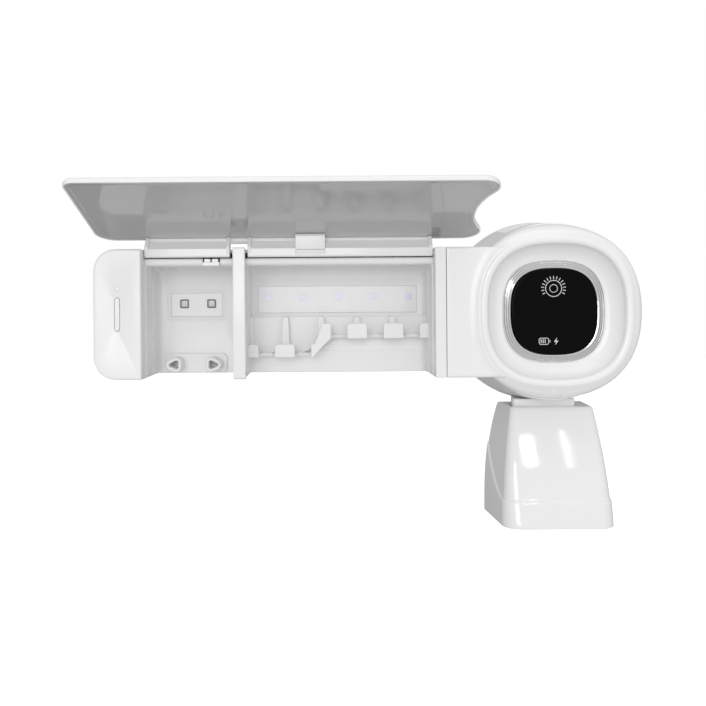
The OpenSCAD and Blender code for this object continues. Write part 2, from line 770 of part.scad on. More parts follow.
module head_housing() color("white") {
    x = [head_x - well_w / 2, head_x + well_w / 2];
    y = [well_front, well_back];
    floor_z = -head_r + 9;
    difference() {
        union() {
            difference() {
                head_solid(0, head_seam, cover_front);
                head_solid(shell_t, head_seam - eps, cover_front + eps);
                box([seam_x - 1, head_x], [head_seam - eps, cover_front + eps],
                    [bottom_z + wall_t, top_z - wall_t]);
            }
            intersection() {
                head_solid(0.1, head_seam + 1, cover_front);
                union() {
                    box([x[0] - well_wall, x[1] + well_wall], [y[0] - well_wall, y[1] + well_wall],
                        [floor_z - 2, head_r]);
                    for (p = head_bosses) bar_y(p[0], [screw_tip - 2, cover_front], p[1], boss_r);
                    bar_z(head_x, axis_y, [head_bottom, floor_z], seal_r + 1.5);
                }
            }
        }
        box(x, y, [floor_z, head_r + 1]);
        bar_z(head_x, axis_y, [head_bottom - 1, floor_z + 1], seal_r);
        for (p = head_bosses) bar_y(p[0], [screw_tip - 0.3, cover_front + eps], p[1], screw_r);
    }
}

// The front cover is the shoulder, the ring and the dish, with the flat link to the bays
module head_front_cover() color("white") {
    shell = 1.8;
    difference() {
        union() {
            translate([head_x, 0, 0]) rotate([-90, 0, 0]) rotate_extrude($fn = 128) polygon([
                [0, dish_y], [dish_r - 4, dish_y], [dish_r - 1, dish_y - 1.5], [dish_r, ring_y + 1.2],
                [dish_r + 1.6, ring_y], [crest_r - 1.4, ring_y], [crest_r, ring_y + 1.4],
                [crest_r + 0.8, front_y + 0.6], [head_front_r, head_seam], [head_front_r - shell, head_seam],
                [crest_r - 1, front_y + 2], [dish_r + 2, front_y + 0.8], [dish_r + 1, dish_y + shell],
                [0, dish_y + shell]
            ]);
            difference() {
                box([seam_x, head_x - 20], [front_y, cover_front], [bottom_z, top_z]);
                box([seam_x - eps, head_x], [skin_y, cover_front + eps], [bottom_z + wall_t, top_z - wall_t]);
                head_solid(-0.02, head_seam, cover_back);
                shoulder_core();
            }
        }
        for (a = [0 : 90 : 270])
            rotate_about_head(a) bar_y(head_x + 12, [dish_y + shell - 0.5, dish_y + 9], 0, 1);
    }
}

// The space inside the shoulder
module shoulder_core() {
    translate([head_x, head_seam + eps, 0]) rotate([90, 0, 0])
        cylinder(h = head_seam - ring_y + 1, r1 = head_front_r - 1, r2 = crest_r - 2);
}

module rotate_about_head(a) {
    translate([head_x, 0, 0]) rotate([0, a, 0]) translate([-head_x, 0, 0]) children();
}

module chrome_bezel() color("silver") {
    translate([head_x, 0, 0]) rotate([-90, 0, 0]) rotate_extrude() polygon([
        [panel_r + 0.1, dish_y], [bezel_r, dish_y], [bezel_r, dish_y - 0.8], [bezel_r - 1.2, dish_y - 1.4],
        [bezel_r - 2.4, dish_y - 1.4], [bezel_r - 3, dish_y - 2.2], [panel_r + 0.1, dish_y - 2.2]
    ]);
}

module display_panel() color("black") {
    bar_y(head_x, [dish_y - panel_t, dish_y], 0, panel_r);
}

module control_board() color("darkgreen") {
    box([head_x - 20, head_x + 20], [panel_board, panel_board + board_t], [-16, 20]);
    box([head_x - 6, head_x + 6], [panel_board + board_t, panel_board + board_t + 1.6], [-6, 6]);
}

// ---- Dispenser ----

module dispenser_neck() color("white") {
    difference() {
        box([head_x - neck_w / 2, head_x + neck_w / 2], [-neck_d, neck_back], [neck_bottom, head_bottom + 12]);
        head_solid(-0.05, head_seam, cover_back);
        bar_z(head_x, axis_y, [neck_bottom - 1, head_bottom + 13], seal_r);
    }
}

// The seal grips the toothpaste tube's nozzle
module tube_seal() color("lightgray") {
    difference() {
        bar_z(head_x, axis_y, [neck_bottom, head_bottom + 9.5], seal_r);
        bar_z(head_x, axis_y, [neck_bottom - eps, head_bottom + 10], nozzle_r);
    }
}

module pump_body() color("whitesmoke") {
    x = [head_x - pump_w / 2, head_x + pump_w / 2];
    ear = lever_w / 2 + 0.4;
    difference() {
        union() {
            box(x, [pump_front, pump_back], [pump_bottom, neck_bottom]);
            for (s = [-1, 1]) {
                ear_x = [head_x + s * (ear + 1) - 1, head_x + s * (ear + 1) + 1];
                box(ear_x, [lever_y - 3, pump_front + eps], [lever_z - 3, neck_bottom]);
            }
        }
        for (s = [-1, 1])
            bar_x([head_x + s * (ear + 1) - 1.1, head_x + s * (ear + 1) + 1.1], lever_y, lever_z, lever_pin_r);
        bar_z(head_x, axis_y + 1.5, [neck_bottom - 4, neck_bottom + eps], 2);
        bar_z(head_x, axis_y + 3, [pump_bottom - eps, pump_bottom + 6], 3);
    }
}

module outlet_valve() color("orange") {
    bar_z(head_x, axis_y + 3, [pump_bottom - 6, pump_bottom + 6], 3);
}

module pump_bladder() color("orange") {
    translate([head_x, pump_front, bladder_z]) rotate([90, 0, 0])
        rotate_extrude() polygon([
            [0, 0], [bladder_r, 0], [bladder_r, 1], [bladder_r - 2.5, 4.4], [bladder_r - 5, 5.2], [0, 5.2]
        ]);
}

module lever_pin() color("silver") {
    bar_x([head_x - lever_w / 2 - 2.4, head_x + lever_w / 2 + 2.4], lever_y, lever_z, lever_pin_r);
}

module push_lever() color("whitesmoke") {
    x = [head_x - lever_w / 2, head_x + lever_w / 2];
    face = pump_front - 5.2 - 1.2;
    difference() {
        union() {
            bar_x(x, lever_y, lever_z, lever_pin_r + 1.5);
            box(x, [face - lever_t, face], [pump_bottom - 13, lever_z]);
        }
        bar_x([x[0] - 1, x[1] + 1], lever_y, lever_z, lever_pin_r + pin_clear);
    }
}

// One level of the shroud: wide at the wall, narrower in front, with round front corners
module shroud_level(z, back_half, front_half, depth, r) {
    translate([shroud_x, 0, z]) linear_extrude(eps) polygon(concat(
        [[back_half, cover_back], [-back_half, cover_back]],
        [for (a = [-180 : 15 : -90]) [-front_half + r + r * cos(a), -depth + r + r * sin(a)]],
        [for (a = [-90 : 15 : 0]) [front_half - r + r * cos(a), -depth + r + r * sin(a)]]
    ));
}

module shroud_form(t, z0, z1) {
    half = shroud_w / 2 - t;
    hull() {
        shroud_level(z1, half - 8.5, half - 10.2, neck_d + 3.5 - t, 3.5 - t);
        shroud_level(z1 - shroud_h * 0.4, half - 1.9, half - 6, neck_d + 11 - t, 5 - t);
        shroud_level(z0, half, half - 2.6, shroud_d - t, 9 - t);
    }
}

module dispenser_shroud() color("white") {
    difference() {
        shroud_form(0, shroud_bottom, shroud_top);
        intersection() {
            shroud_form(wall_t, shroud_bottom - 1, shroud_top - wall_t);
            box([shroud_x - shroud_w, shroud_x + shroud_w], [-shroud_d - 5, cover_back - wall_t],
                [shroud_bottom - 2, shroud_top]);
        }
        box([head_x - neck_w / 2 - shroud_clear, head_x + neck_w / 2 + shroud_clear],
            [-neck_d - shroud_clear, cover_back - wall_t], [shroud_top - wall_t - 1, shroud_top + 1]);
    }
}

wall_bracket();
adhesive_pads();
rear_cover();
bay_housing();
left_end_cover();
divider_wall();
brush_rack();
razor_hook();
razor_panel();
uv_window();
brush_uv_board();
brush_uv_leds();
razor_uv_board();
razor_uv_leds();
lid_sensor();
status_led();
button_board();
mode_button();
battery_cell();
battery_cradle();
charge_port();
ribbon_cable();
housing_screws();
hinge_pins();
lid_shell();
lid_liner();
lid_hinge_frame();
lid_stay_clip();
head_housing();
head_front_cover();
display_panel();
chrome_bezel();
control_board();
dispenser_neck();
tube_seal();
pump_body();
pump_bladder();
outlet_valve();
push_lever();
lever_pin();
dispenser_shroud();
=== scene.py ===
"""A wall-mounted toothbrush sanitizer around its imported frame. Sizes are in millimetres and become metres in the
meshes. X runs to the right, Y towards the wall and Z up, and the lid is open at rest."""
import json
import math

import bpy
import numpy as np
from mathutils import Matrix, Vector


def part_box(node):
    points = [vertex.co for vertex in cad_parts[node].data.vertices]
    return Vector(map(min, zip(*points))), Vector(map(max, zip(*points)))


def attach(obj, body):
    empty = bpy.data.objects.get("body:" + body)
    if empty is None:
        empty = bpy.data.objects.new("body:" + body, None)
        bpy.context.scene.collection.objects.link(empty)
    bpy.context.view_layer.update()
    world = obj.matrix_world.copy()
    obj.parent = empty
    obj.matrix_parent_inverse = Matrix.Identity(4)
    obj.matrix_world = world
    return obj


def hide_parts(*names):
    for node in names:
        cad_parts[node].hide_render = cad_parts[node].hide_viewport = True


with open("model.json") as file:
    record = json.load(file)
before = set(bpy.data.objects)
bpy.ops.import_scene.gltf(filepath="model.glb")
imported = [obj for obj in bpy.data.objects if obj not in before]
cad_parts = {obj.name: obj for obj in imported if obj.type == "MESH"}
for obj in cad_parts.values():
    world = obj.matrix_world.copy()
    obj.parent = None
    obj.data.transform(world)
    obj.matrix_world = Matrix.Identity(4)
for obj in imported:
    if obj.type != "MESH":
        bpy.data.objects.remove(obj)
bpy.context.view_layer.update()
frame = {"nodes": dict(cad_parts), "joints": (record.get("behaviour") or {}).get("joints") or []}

# ---- Camera and studio ----
# The unit hangs in the air in a plain white studio, seen square on from a little left of its middle. The room's
# even light and a softbox in front do the shaping, and two narrow lights at the right draw streaks on the shroud.
MM = 0.001
scene = bpy.context.scene
scene.view_settings.view_transform = "Standard"

camera = bpy.data.objects.new("camera", bpy.data.cameras.new("camera"))
scene.collection.objects.link(camera)
camera.location = (-26.4 * MM, -502 * MM, 5.5 * MM)
camera.rotation_euler = (math.radians(90), math.radians(0.4), 0)
camera.data.lens = 42.4
camera.data.sensor_width = 36
camera.data.shift_x = 0.0397
camera.data.shift_y = -0.0708
camera.data.clip_start = 0.01
scene.camera = camera


def wire(tree, kind, **sockets):
    """Adds a node and sets its inputs by name: a value is set on the socket and an output is linked to it."""
    node = tree.nodes.new(kind)
    for key, value in sockets.items():
        socket = node.inputs[int(key[1:])] if key[0] == "_" else node.inputs[key.replace("_", " ")]
        if isinstance(value, bpy.types.NodeSocket):
            tree.links.new(value, socket)
        else:
            socket.default_value = value
    return node


def sum_of(tree, operation, *values):
    """A Math node on two or three values or outputs."""
    node = wire(tree, "ShaderNodeMath", **{f"_{i}": v for i, v in enumerate(values)})
    node.operation = operation
    return node.outputs[0]


studio = bpy.data.worlds.new("studio")
studio.use_nodes = True
scene.world = studio
tree = studio.node_tree
tree.nodes.clear()
# Brightness = level + right x + up z - front y, where x, y, z is the direction looked in, and pure white in view
LEVEL, RIGHT, UP, FRONT = 0.56, 0.02, 0.1, 0.26
way = wire(tree, "ShaderNodeSeparateXYZ", Vector=wire(tree, "ShaderNodeTexCoord").outputs["Generated"])
glow = sum_of(tree, "MULTIPLY_ADD", way.outputs["X"], RIGHT, LEVEL)
glow = sum_of(tree, "MULTIPLY_ADD", way.outputs["Z"], UP, glow)
glow = sum_of(tree, "MULTIPLY_ADD", way.outputs["Y"], -FRONT, glow)
soft = wire(tree, "ShaderNodeBackground", Color=(1.0, 1.0, 1.0, 1.0), Strength=glow)
plain = wire(tree, "ShaderNodeBackground", Color=(1.0, 1.0, 1.0, 1.0), Strength=1.0)
seen = wire(tree, "ShaderNodeLightPath").outputs["Is Camera Ray"]
sky = wire(tree, "ShaderNodeMixShader", _0=seen, _1=soft.outputs[0], _2=plain.outputs[0])
wire(tree, "ShaderNodeOutputWorld", Surface=sky.outputs[0])


def softbox(name, place, target, size, watts):
    """A rectangular light at place, turned to face target; size is its width and height in metres."""
    light = bpy.data.lights.new(name, "AREA")
    light.shape = "RECTANGLE"
    light.size, light.size_y = size
    light.energy = watts
    lamp = bpy.data.objects.new(name, light)
    scene.collection.objects.link(lamp)
    lamp.location = place
    aim = Vector(target) - Vector(place)
    lamp.rotation_euler = aim.to_track_quat("-Z", "Y").to_euler()


softbox("front", (-0.2, -1.7, 0.25), (0, 0, 0), (0.8, 0.6), 6.4)
softbox("top", (0.1, -0.6, 1.3), (0, 0, 0), (0.9, 0.5), 2.0)
softbox("window", (0.322, -0.94, 0.29), (0.09, -0.03, -0.07), (0.02, 0.09), 0.07)
softbox("glint", (0.39, -0.95, 0.3), (0.11, -0.03, -0.06), (0.006, 0.11), 0.025)

floor_z = -0.6
size = 8.0
ground = bpy.data.meshes.new("floor")
ground.from_pydata([(-size, -size, floor_z), (size, -size, floor_z), (size, size, floor_z), (-size, size, floor_z)],
                   [], [(0, 1, 2, 3)])
floor = bpy.data.objects.new("floor", ground)
scene.collection.objects.link(floor)
floor.visible_diffuse = False
floor.visible_glossy = False
pale = bpy.data.materials.new("pale_floor")
pale.use_nodes = True
pale.node_tree.nodes.clear()
shade = wire(pale.node_tree, "ShaderNodeBsdfDiffuse", Color=(0.9, 0.9, 0.9, 1.0))
lift = wire(pale.node_tree, "ShaderNodeEmission", Color=(1.0, 1.0, 1.0, 1.0), Strength=0.6)
both = wire(pale.node_tree, "ShaderNodeAddShader", _0=shade.outputs[0], _1=lift.outputs[0])
wire(pale.node_tree, "ShaderNodeOutputMaterial", Surface=both.outputs[0])
ground.materials.append(pale)

# ---- Left end cover ----
# A deep tray moulded in gloss white plastic, which closes the chamber of the battery and the key board.
# Its front laps over the bay's wall, and it has a slot for the key. Two screws hold it from behind.


def box_of(node):
    """A node's lowest and highest corners, in millimetres."""
    low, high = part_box(node)
    return np.array(low) / MM, np.array(high) / MM


def rounded(points, radii, inset=0.0, steps=6):
    """A closed polygon, counter-clockwise, with an arc at each corner.
    An inset moves each edge in, so a corner P goes to P + inset (n1 + n2) / (1 + n1.n2), n being the inward normals.
    The arcs keep their centres: an outer corner's radius loses the inset and a hollow corner's gains it."""
    p = np.asarray(points, float)
    before = p - np.roll(p, 1, axis=0)
    after = np.roll(p, -1, axis=0) - p
    before /= np.linalg.norm(before, axis=1, keepdims=True)
    after /= np.linalg.norm(after, axis=1, keepdims=True)
    n1 = np.stack([-before[:, 1], before[:, 0]], 1)
    n2 = np.stack([-after[:, 1], after[:, 0]], 1)
    corner = p + inset * (n1 + n2) / (1 + (n1 * n2).sum(1, keepdims=True))
    turn = np.arctan2(before[:, 0] * after[:, 1] - before[:, 1] * after[:, 0], (before * after).sum(1))
    side = np.sign(turn)
    r = np.maximum(np.broadcast_to(np.asarray(radii, float), side.shape) - side * inset, 0.02)
    centre = corner + (side * r)[:, None] * n1 - (r * np.tan(np.abs(turn) / 2))[:, None] * before
    a = turn[:, None] * np.linspace(0, 1, steps + 1)
    start = -side[:, None] * n1
    x = start[:, :1] * np.cos(a) - start[:, 1:] * np.sin(a)
    z = start[:, :1] * np.sin(a) + start[:, 1:] * np.cos(a)
    return (centre[:, None] + r[:, None, None] * np.stack([x, z], -1)).reshape(-1, 2)


def rectangle(x, z, radii):
    """A rounded rectangle as a function of its inset, with corners from the lower left one on."""
    corners = [(x[0], z[0]), (x[1], z[0]), (x[1], z[1]), (x[0], z[1])]
    return lambda inset=0.0: rounded(corners, radii, inset)


def skin(rings, wrap=False):
    """Vertices and faces over closed rings, (ring, point, xyz): quads between neighbours, and a flat cap on each end
    or, wrapped, quads from the last ring to the first. A negative volume, the sum of a.(b x c) / 6, is turned out."""
    count, around = rings.shape[:2]
    index = np.arange(count * around).reshape(count, around)
    rows = np.vstack([index, index[:1]]) if wrap else index
    ahead = np.roll(rows, -1, axis=1)
    quads = np.stack([rows[:-1], rows[1:], ahead[1:], ahead[:-1]], -1).reshape(-1, 4)
    caps = [] if wrap else [index[0], index[-1][::-1]]
    fans = [np.stack([np.full(around - 2, c[0]), c[1:-1], c[2:]], 1) for c in caps]
    a, b, c = np.moveaxis(rings.reshape(-1, 3)[np.vstack([quads[:, :3], quads[:, [0, 2, 3]], *fans])], 1, 0)
    turn = -1 if (a * np.cross(b, c)).sum() < 0 else 1
    return rings.reshape(-1, 3), [f[::turn].tolist() for f in [*quads, *caps]]


def moulding(outline, stations, axis=1, wrap=False):
    """A solid whose outline is carried along an axis, drawn in by the inset at each station (inset, place)."""
    return skin(np.array([np.insert(outline(inset), axis, place, axis=1) for inset, place in stations]), wrap)


def edge(r, end, way, steps=4, flat=0.3):
    """Stations of a rounded edge: inset = r (1 - sin a) and place = end + way r (1 - cos a), for a from 0 to 90."""
    a = np.linspace(0, math.pi / 2, steps + 1)
    return [(r + flat, end), *zip(r * (1 - np.sin(a)), end + way * r * (1 - np.cos(a)))]


def ends(low, high, r, r_high=None, flat=0.3):
    """Stations of a bar from low to high with both edges rounded."""
    return edge(r, low, 1, flat=flat) + edge(r if r_high is None else r_high, high, -1, flat=flat)[::-1]


def block(x, y, z, r=0.4, corner=0.4, axis=1):
    """A box with rounded edges: its rectangle across the axis has the corner radius, and its ends the radius r."""
    spans = [x, y, z]
    along = spans.pop(axis)
    return moulding(rectangle(*spans, corner), ends(*along, r), axis)


def build(name, blocks, finish, sharp=35):
    """One object from blocks of (vertices, faces), smooth but for edges sharper than the angle."""
    starts = np.cumsum([0, *(len(v) for v, f in blocks)])
    faces = [[start + i for i in face] for start, (v, f) in zip(starts.tolist(), blocks) for face in f]
    mesh = bpy.data.meshes.new(name)
    mesh.from_pydata((np.vstack([v for v, f in blocks]) * MM).tolist(), [], faces)
    mesh.shade_smooth()
    mesh.set_sharp_from_angle(angle=math.radians(sharp))
    mesh.materials.append(finish)
    piece = bpy.data.objects.new(name, mesh)
    scene.collection.objects.link(piece)
    return piece


def plastic(name, colour, roughness, grain=0.01, waves=0.02, coat=0.0, specular=0.5):
    """Moulded plastic: a fine grain and long shallow waves in the surface, and slow changes of gloss and shade.
    Lengths are in metres, so a noise scale of 1000 has features about 1 mm across."""
    material = bpy.data.materials.new(name)
    material.use_nodes = True
    tree = material.node_tree
    tree.nodes.clear()
    place = wire(tree, "ShaderNodeTexCoord").outputs["Object"]
    fine = wire(tree, "ShaderNodeTexNoise", Vector=place, Scale=1500.0, Detail=3.0)
    slow = wire(tree, "ShaderNodeTexNoise", Vector=place, Scale=35.0, Detail=2.0)
    gloss = wire(tree, "ShaderNodeMapRange", Value=slow.outputs["Fac"], From_Min=0.3, From_Max=0.7,
                 To_Min=roughness * 0.8, To_Max=roughness * 1.25)
    dark = tuple(c * 0.975 for c in colour)
    tint = wire(tree, "ShaderNodeMix", Factor=slow.outputs["Fac"])
    tint.data_type = "RGBA"
    tint.inputs[6].default_value = (*dark, 1.0)
    tint.inputs[7].default_value = (*colour, 1.0)
    relief = wire(tree, "ShaderNodeBump", Height=slow.outputs["Fac"], Strength=waves, Distance=0.002)
    relief = wire(tree, "ShaderNodeBump", Height=fine.outputs["Fac"], Strength=grain, Distance=0.0003,
                  Normal=relief.outputs[0])
    body = wire(tree, "ShaderNodeBsdfPrincipled", Base_Color=tint.outputs[2], Roughness=gloss.outputs[0],
                Normal=relief.outputs[0], Coat_Weight=coat, Coat_Roughness=0.04, Specular_IOR_Level=specular)
    wire(tree, "ShaderNodeOutputMaterial", Surface=body.outputs[0])
    return material


gloss_white = plastic("gloss_white", (0.9, 0.9, 0.905), 0.22)
cover_low, cover_high = box_of("left_end_cover")
wall = 2.0
lap = 2.0
key_low, key_high = box_of("mode_button")
key_x = (key_low[0] + key_high[0]) / 2
key_half = (1.35, 9.0)
key_gap = 0.2


def cover_ring(inset, y, right=0.0):
    """The cover's outline with two round corners at the left, at depth y; right draws in its straight right side."""
    shape = rectangle((cover_low[0], cover_high[0] - right), (cover_low[2], cover_high[2]), (12, 0.9, 0.9, 12))
    return np.insert(shape(inset), 1, y, axis=1)


def key_ring(grow, y):
    """The key slot's outline at depth y, grown by a margin."""
    w, h = key_half[0] + key_gap + grow, key_half[1] + key_gap + grow
    return np.insert(rectangle((key_x - w, key_x + w), (-h, h), w - 0.02)(), 1, y, axis=1)


front, back = cover_low[1], cover_high[1]
rings = [key_ring(grow, front + y) for grow, y in ((0.0, wall), (0.0, 0.25), (0.07, 0.07), (0.25, 0.0))]
rings += [cover_ring(inset, y) for inset, y in edge(1.1, front, 1, steps=5)]
rings += [cover_ring(0.0, front + wall), cover_ring(0.0, front + wall + 0.01, lap)]
rings += [cover_ring(0.0, back, lap), cover_ring(wall, back, lap), cover_ring(wall, front + wall, lap)]
end_cover = build("end_cover", [skin(np.array(rings), wrap=True)], gloss_white)
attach(end_cover, "main_unit")
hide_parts("left_end_cover")

# ---- Key and status light ----
# The key is a slim gloss white bar that stands a little proud of the cover and presses a switch behind it.
# The light above it is the domed end of a clear pipe that carries an LED's light to the front.
pill = rectangle((key_x - key_half[0], key_x + key_half[0]), (-key_half[1], key_half[1]), key_half[0] - 0.02)
key_stations = edge(0.45, key_low[1], 1) + [(0.0, front + wall - 0.02)]
flange = rectangle((key_low[0], key_high[0]), (key_low[2], key_high[2]), key_half[0])
mode_key = build("mode_key", [moulding(pill, key_stations), moulding(flange, ends(front + wall, key_high[1], 0.2))],
                 gloss_white)
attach(mode_key, "mode_key")
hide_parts("mode_button")

led_low, led_high = box_of("status_led")
led_centre = (led_low + led_high) / 2
led_r = 1.3


def disc(centre, stations, exponent=2.0, flatten=1.0, around=48):
    """Rings about an axis along Y for stations (radius, y). Each is the superellipse |x|^n + |z|^n = r^n, where n is
    a station's third value or the exponent, and z is flattened."""
    a = np.linspace(0, 2 * math.pi, around, endpoint=False)
    out = []
    for r, y, *own in stations:
        n = own[0] if own else exponent
        reach = r * (np.abs(np.cos(a)) ** n + np.abs(np.sin(a)) ** n) ** (-1 / n)
        out.append(np.stack([centre[0] + reach * np.cos(a), np.full(around, y),
                             centre[-1] + flatten * reach * np.sin(a)], 1))
    return np.array(out)


dome = np.linspace(0.1, math.pi / 2, 7)
dome_h = 0.3
lens = [(led_r * math.sin(a), front - dome_h * math.cos(a)) for a in dome]
lens += [(led_r, front + 0.02), (led_r, led_high[1])]
pipe_clear = plastic("light_pipe", (0.86, 0.87, 0.88), 0.1, coat=0.5)
status_light = build("status_light", [skin(disc(led_centre, lens, around=32))], pipe_clear)
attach(status_light, "main_unit")
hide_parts("status_led")

# ---- Bay housing ----
# The middle of the unit in satin white plastic: a roof, the left wall, the bulkhead, and for each bay a back wall
# with a recess, a liner with a large round corner under the ceiling, and a round bar as the ceiling's front.
satin_white = plastic("satin_white", (0.88, 0.88, 0.885), 0.34)
house_low, house_high = box_of("bay_housing")
divider_low, divider_high = box_of("divider_wall")
rack_low, rack_high = box_of("brush_rack")
window_low, window_high = box_of("uv_window")
razor_low, razor_high = box_of("razor_panel")
sensor_low, sensor_high = box_of("lid_sensor")
razor_wall = cover_high[0]
bulkhead = rack_high[0] + 0.3
floor_front = rack_high[1]
floor_back = floor_front + 1.8
divider_lap = 1.1
nose_r = 2.1
nose_y, nose_z = sensor_low[1] + 3.0, sensor_high[2] + 0.4 - nose_r
ceiling = sensor_low[2] + 0.3
roof_front = nose_y + 1.6
roof_t = 2.0
liner_depth = 16.0
seam_half = 0.15


def liner(x, bottom):
    """The bay's side linings and ceiling as one arch, carried along Y. Its inner path goes up, over and down, drawn
    in at each station by the sides' inset and, under the ceiling, by the ceiling's; its outer path stays."""
    k = np.linspace(0, 1, 9)
    out = []
    for side, top, y in arch_stations():
        corner = 1.5 + 0.6 * top
        left, right, high = x[0] + side, x[1] - side, ceiling - top
        a = math.pi * (1 - k / 2)
        up = np.stack([left + corner + corner * np.cos(a), high - corner + corner * np.sin(a)], 1)
        down = up[::-1] * (-1, 1) + (left + right, 0)
        low, high = (x[0] - 0.05, bottom), (x[1] + 0.05, ceiling + 2)
        over = np.linspace(high, (low[0], high[1]), 18)
        path = np.vstack([[(left, bottom)], up, down, [(right, bottom), (high[0], bottom)], over, [low]])
        out.append(np.insert(path, 1, y, axis=1))
    return skin(np.array(out))


def arch_stations():
    """Stations (side inset, ceiling inset, y) of a liner: bare, a groove and a step, then round corners at the back,
    where an inset grows by r (1 - cos t) while y moves back by r sin t."""
    step_y = floor_front - liner_depth
    steps = [(0.45, 0.0, nose_y), (0.45, 0.0, step_y), (0.05, 0.0, step_y + 0.1), (0.05, 0.0, step_y + 0.45),
             (0.8, 0.0, step_y + 0.5)]
    side_r, top_r = 2.2, 5.5
    for t in np.linspace(0, math.pi / 2, 9):
        drawn_in = 1 - math.cos(t)
        steps.append((0.8 + side_r * drawn_in, top_r * drawn_in, floor_front - top_r * (1 - math.sin(t))))
    return steps + [(0.8 + side_r, top_r, floor_front + 0.05)]


def back_wall(x, recess_x, recess_z, bevel, radius):
    """A bay's back wall: rings from the wall's outline over its face, down a sharp edge into a recess with round
    corners, along a slope as wide as the bevel, and over a second edge to the hole that the panel closes."""
    whole = rectangle(x, (house_low[2], ceiling + 1.5), 0.02)
    recess = rectangle(recess_x, recess_z, radius)
    ring = lambda shape, inset, y: np.insert(shape(inset), 1, floor_front + y, axis=1)
    rows = [ring(whole, 0.0, floor_back - floor_front), ring(whole, 0.0, 0.3), ring(whole, 0.3, 0.0)]
    rows += [ring(recess, -0.3, 0.0), ring(recess, -0.08, 0.1), ring(recess, 0.0, 0.55), ring(recess, 0.2, 0.6)]
    rows += [ring(recess, bevel * k, 0.6 + 0.5 * k) for k in (0.35, 0.65, 1.0)]
    rows += [ring(recess, bevel + 0.1, 1.15), ring(recess, bevel + 0.14, 1.6), ring(recess, bevel + 0.5, 1.62)]
    return skin(np.array(rows))


divider_left, divider_right = divider_low[0] + divider_lap, divider_high[0] - divider_lap
razor_bay = (razor_wall, divider_left - 0.05)
brush_bay = (divider_right + 0.05, bulkhead)
razor_recess = ((razor_low[0] - 0.1, razor_high[0] + 0.1), (razor_low[2] - 0.7, razor_high[2] + 0.8))
brush_recess = ((window_low[0] - 0.1, window_high[0] + 0.1), (window_low[2] - 0.1, window_high[2] + 0.1))
razor_bevel, brush_bevel = 1.9, 2.6
house_z = (house_low[2], house_high[2])
seam_x = house_high[0] - seam_half
roof_under = house_high[2] - roof_t
parts = [
    block((house_low[0], seam_x - seam_half), (roof_front, house_high[1]), (roof_under, house_high[2]), 0.3),
    block((house_low[0], razor_wall), (cover_low[1] + wall, floor_back), (house_low[2], house_high[2] - 0.02), 0.25,
          axis=0),
    block((bulkhead, seam_x), (house_low[1], floor_back), house_z, 0.35, 0.7),
    block((house_low[0], seam_x), (floor_back - 0.1, house_high[1]), (house_low[2], house_low[2] + roof_t), 0.2),
    back_wall(razor_bay, *razor_recess, razor_bevel, 2.6),
    back_wall(brush_bay, *brush_recess, brush_bevel, 3.4),
    liner(razor_bay, house_low[2] + 0.6),
    liner(brush_bay, house_low[2] + 0.6),
]
nose = lambda inset: disc((nose_y, nose_z), [(nose_r - inset, 0.0)])[0][:, [0, 2]]
for x in ((razor_bay[0], sensor_low[0] - 0.1), (sensor_high[0] + 0.1, razor_bay[1]), brush_bay):
    parts.append(moulding(nose, ends(*x, 0.3), axis=0))
apron_top, apron_end = -22.6, 3.0
parts.append(block((brush_bay[0] + apron_end, brush_bay[1] - apron_end), (floor_front - 0.45, floor_front + 0.3),
                   (house_low[2] + 0.2, apron_top), 0.25))
housing = build("bay_housing_shell", parts, satin_white)
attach(housing, "main_unit")
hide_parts("bay_housing")

# ---- Windows and lights of the bays ----
# Each bay's back wall holds a thin satin panel. The UV LEDs' violet lenses look out of the brush bay's long window,
# and through the razor bay's panel two LEDs stand in dark square frames.
frosted = plastic("frosted_window", (0.83, 0.83, 0.84), 0.38, coat=0.3)
recess_gap = 0.2
window = lambda inset: rectangle(*brush_recess, 3.4)(inset + brush_bevel + recess_gap)
window_y = ends(floor_front + 1.15, floor_front + 1.6, 0.15, flat=0.2)
uv_window = build("uv_window_panel", [moulding(window, window_y)], frosted)
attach(uv_window, "main_unit")
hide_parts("uv_window")

panel_front = floor_front + 1.05
pane = lambda inset: rectangle(*razor_recess, 2.6)(inset + razor_bevel + recess_gap)
pane_y = ends(panel_front, floor_front + 1.55, 0.12, flat=0.2)
razor_pane = build("razor_light_panel", [moulding(pane, pane_y)], frosted)
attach(razor_pane, "main_unit")
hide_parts("razor_panel")

frame_grey = plastic("led_frame", (0.16, 0.16, 0.165), 0.3)
die = plastic("led_die", (0.78, 0.77, 0.82), 0.15, grain=0.3, coat=0.4)
led_low, led_high = box_of("razor_uv_leds")
led_side = 5.2
led_z = (led_low[2] + led_high[2]) / 2 - 0.4
led_mid = ((led_low[0] + 2.7, led_z), (led_high[0] - 1.3, led_z))
frames, dice = [], []
for x, z in led_mid:
    square = rectangle((x - led_side / 2, x + led_side / 2), (z - led_side / 2, z + led_side / 2), 0.7)
    stations = edge(0.15, panel_front - 0.6, 1, flat=0.1)[1:] + [(0.0, floor_back - 0.2), (0.8, floor_back - 0.2)]
    stations += [(0.8, panel_front - 0.2), (0.65, panel_front - 0.6)]
    frames.append(moulding(square, stations, wrap=True))
    dice.append(moulding(square, [(1.0, panel_front - 0.3), (0.85, panel_front - 0.2), (0.82, floor_back - 0.3)]))
    die_y = (panel_front - 0.4, panel_front - 0.1)
    dice += [block((x + s - 0.3, x + s + 0.3), die_y, (z - 0.8, z + 0.8), 0.08, 0.1) for s in (-0.5, 0.5)]
led_frames = build("razor_led_frames", frames, frame_grey)
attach(led_frames, "main_unit")
led_dice = build("razor_led_lenses", dice, die)
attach(led_dice, "main_unit")
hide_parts("razor_uv_leds")

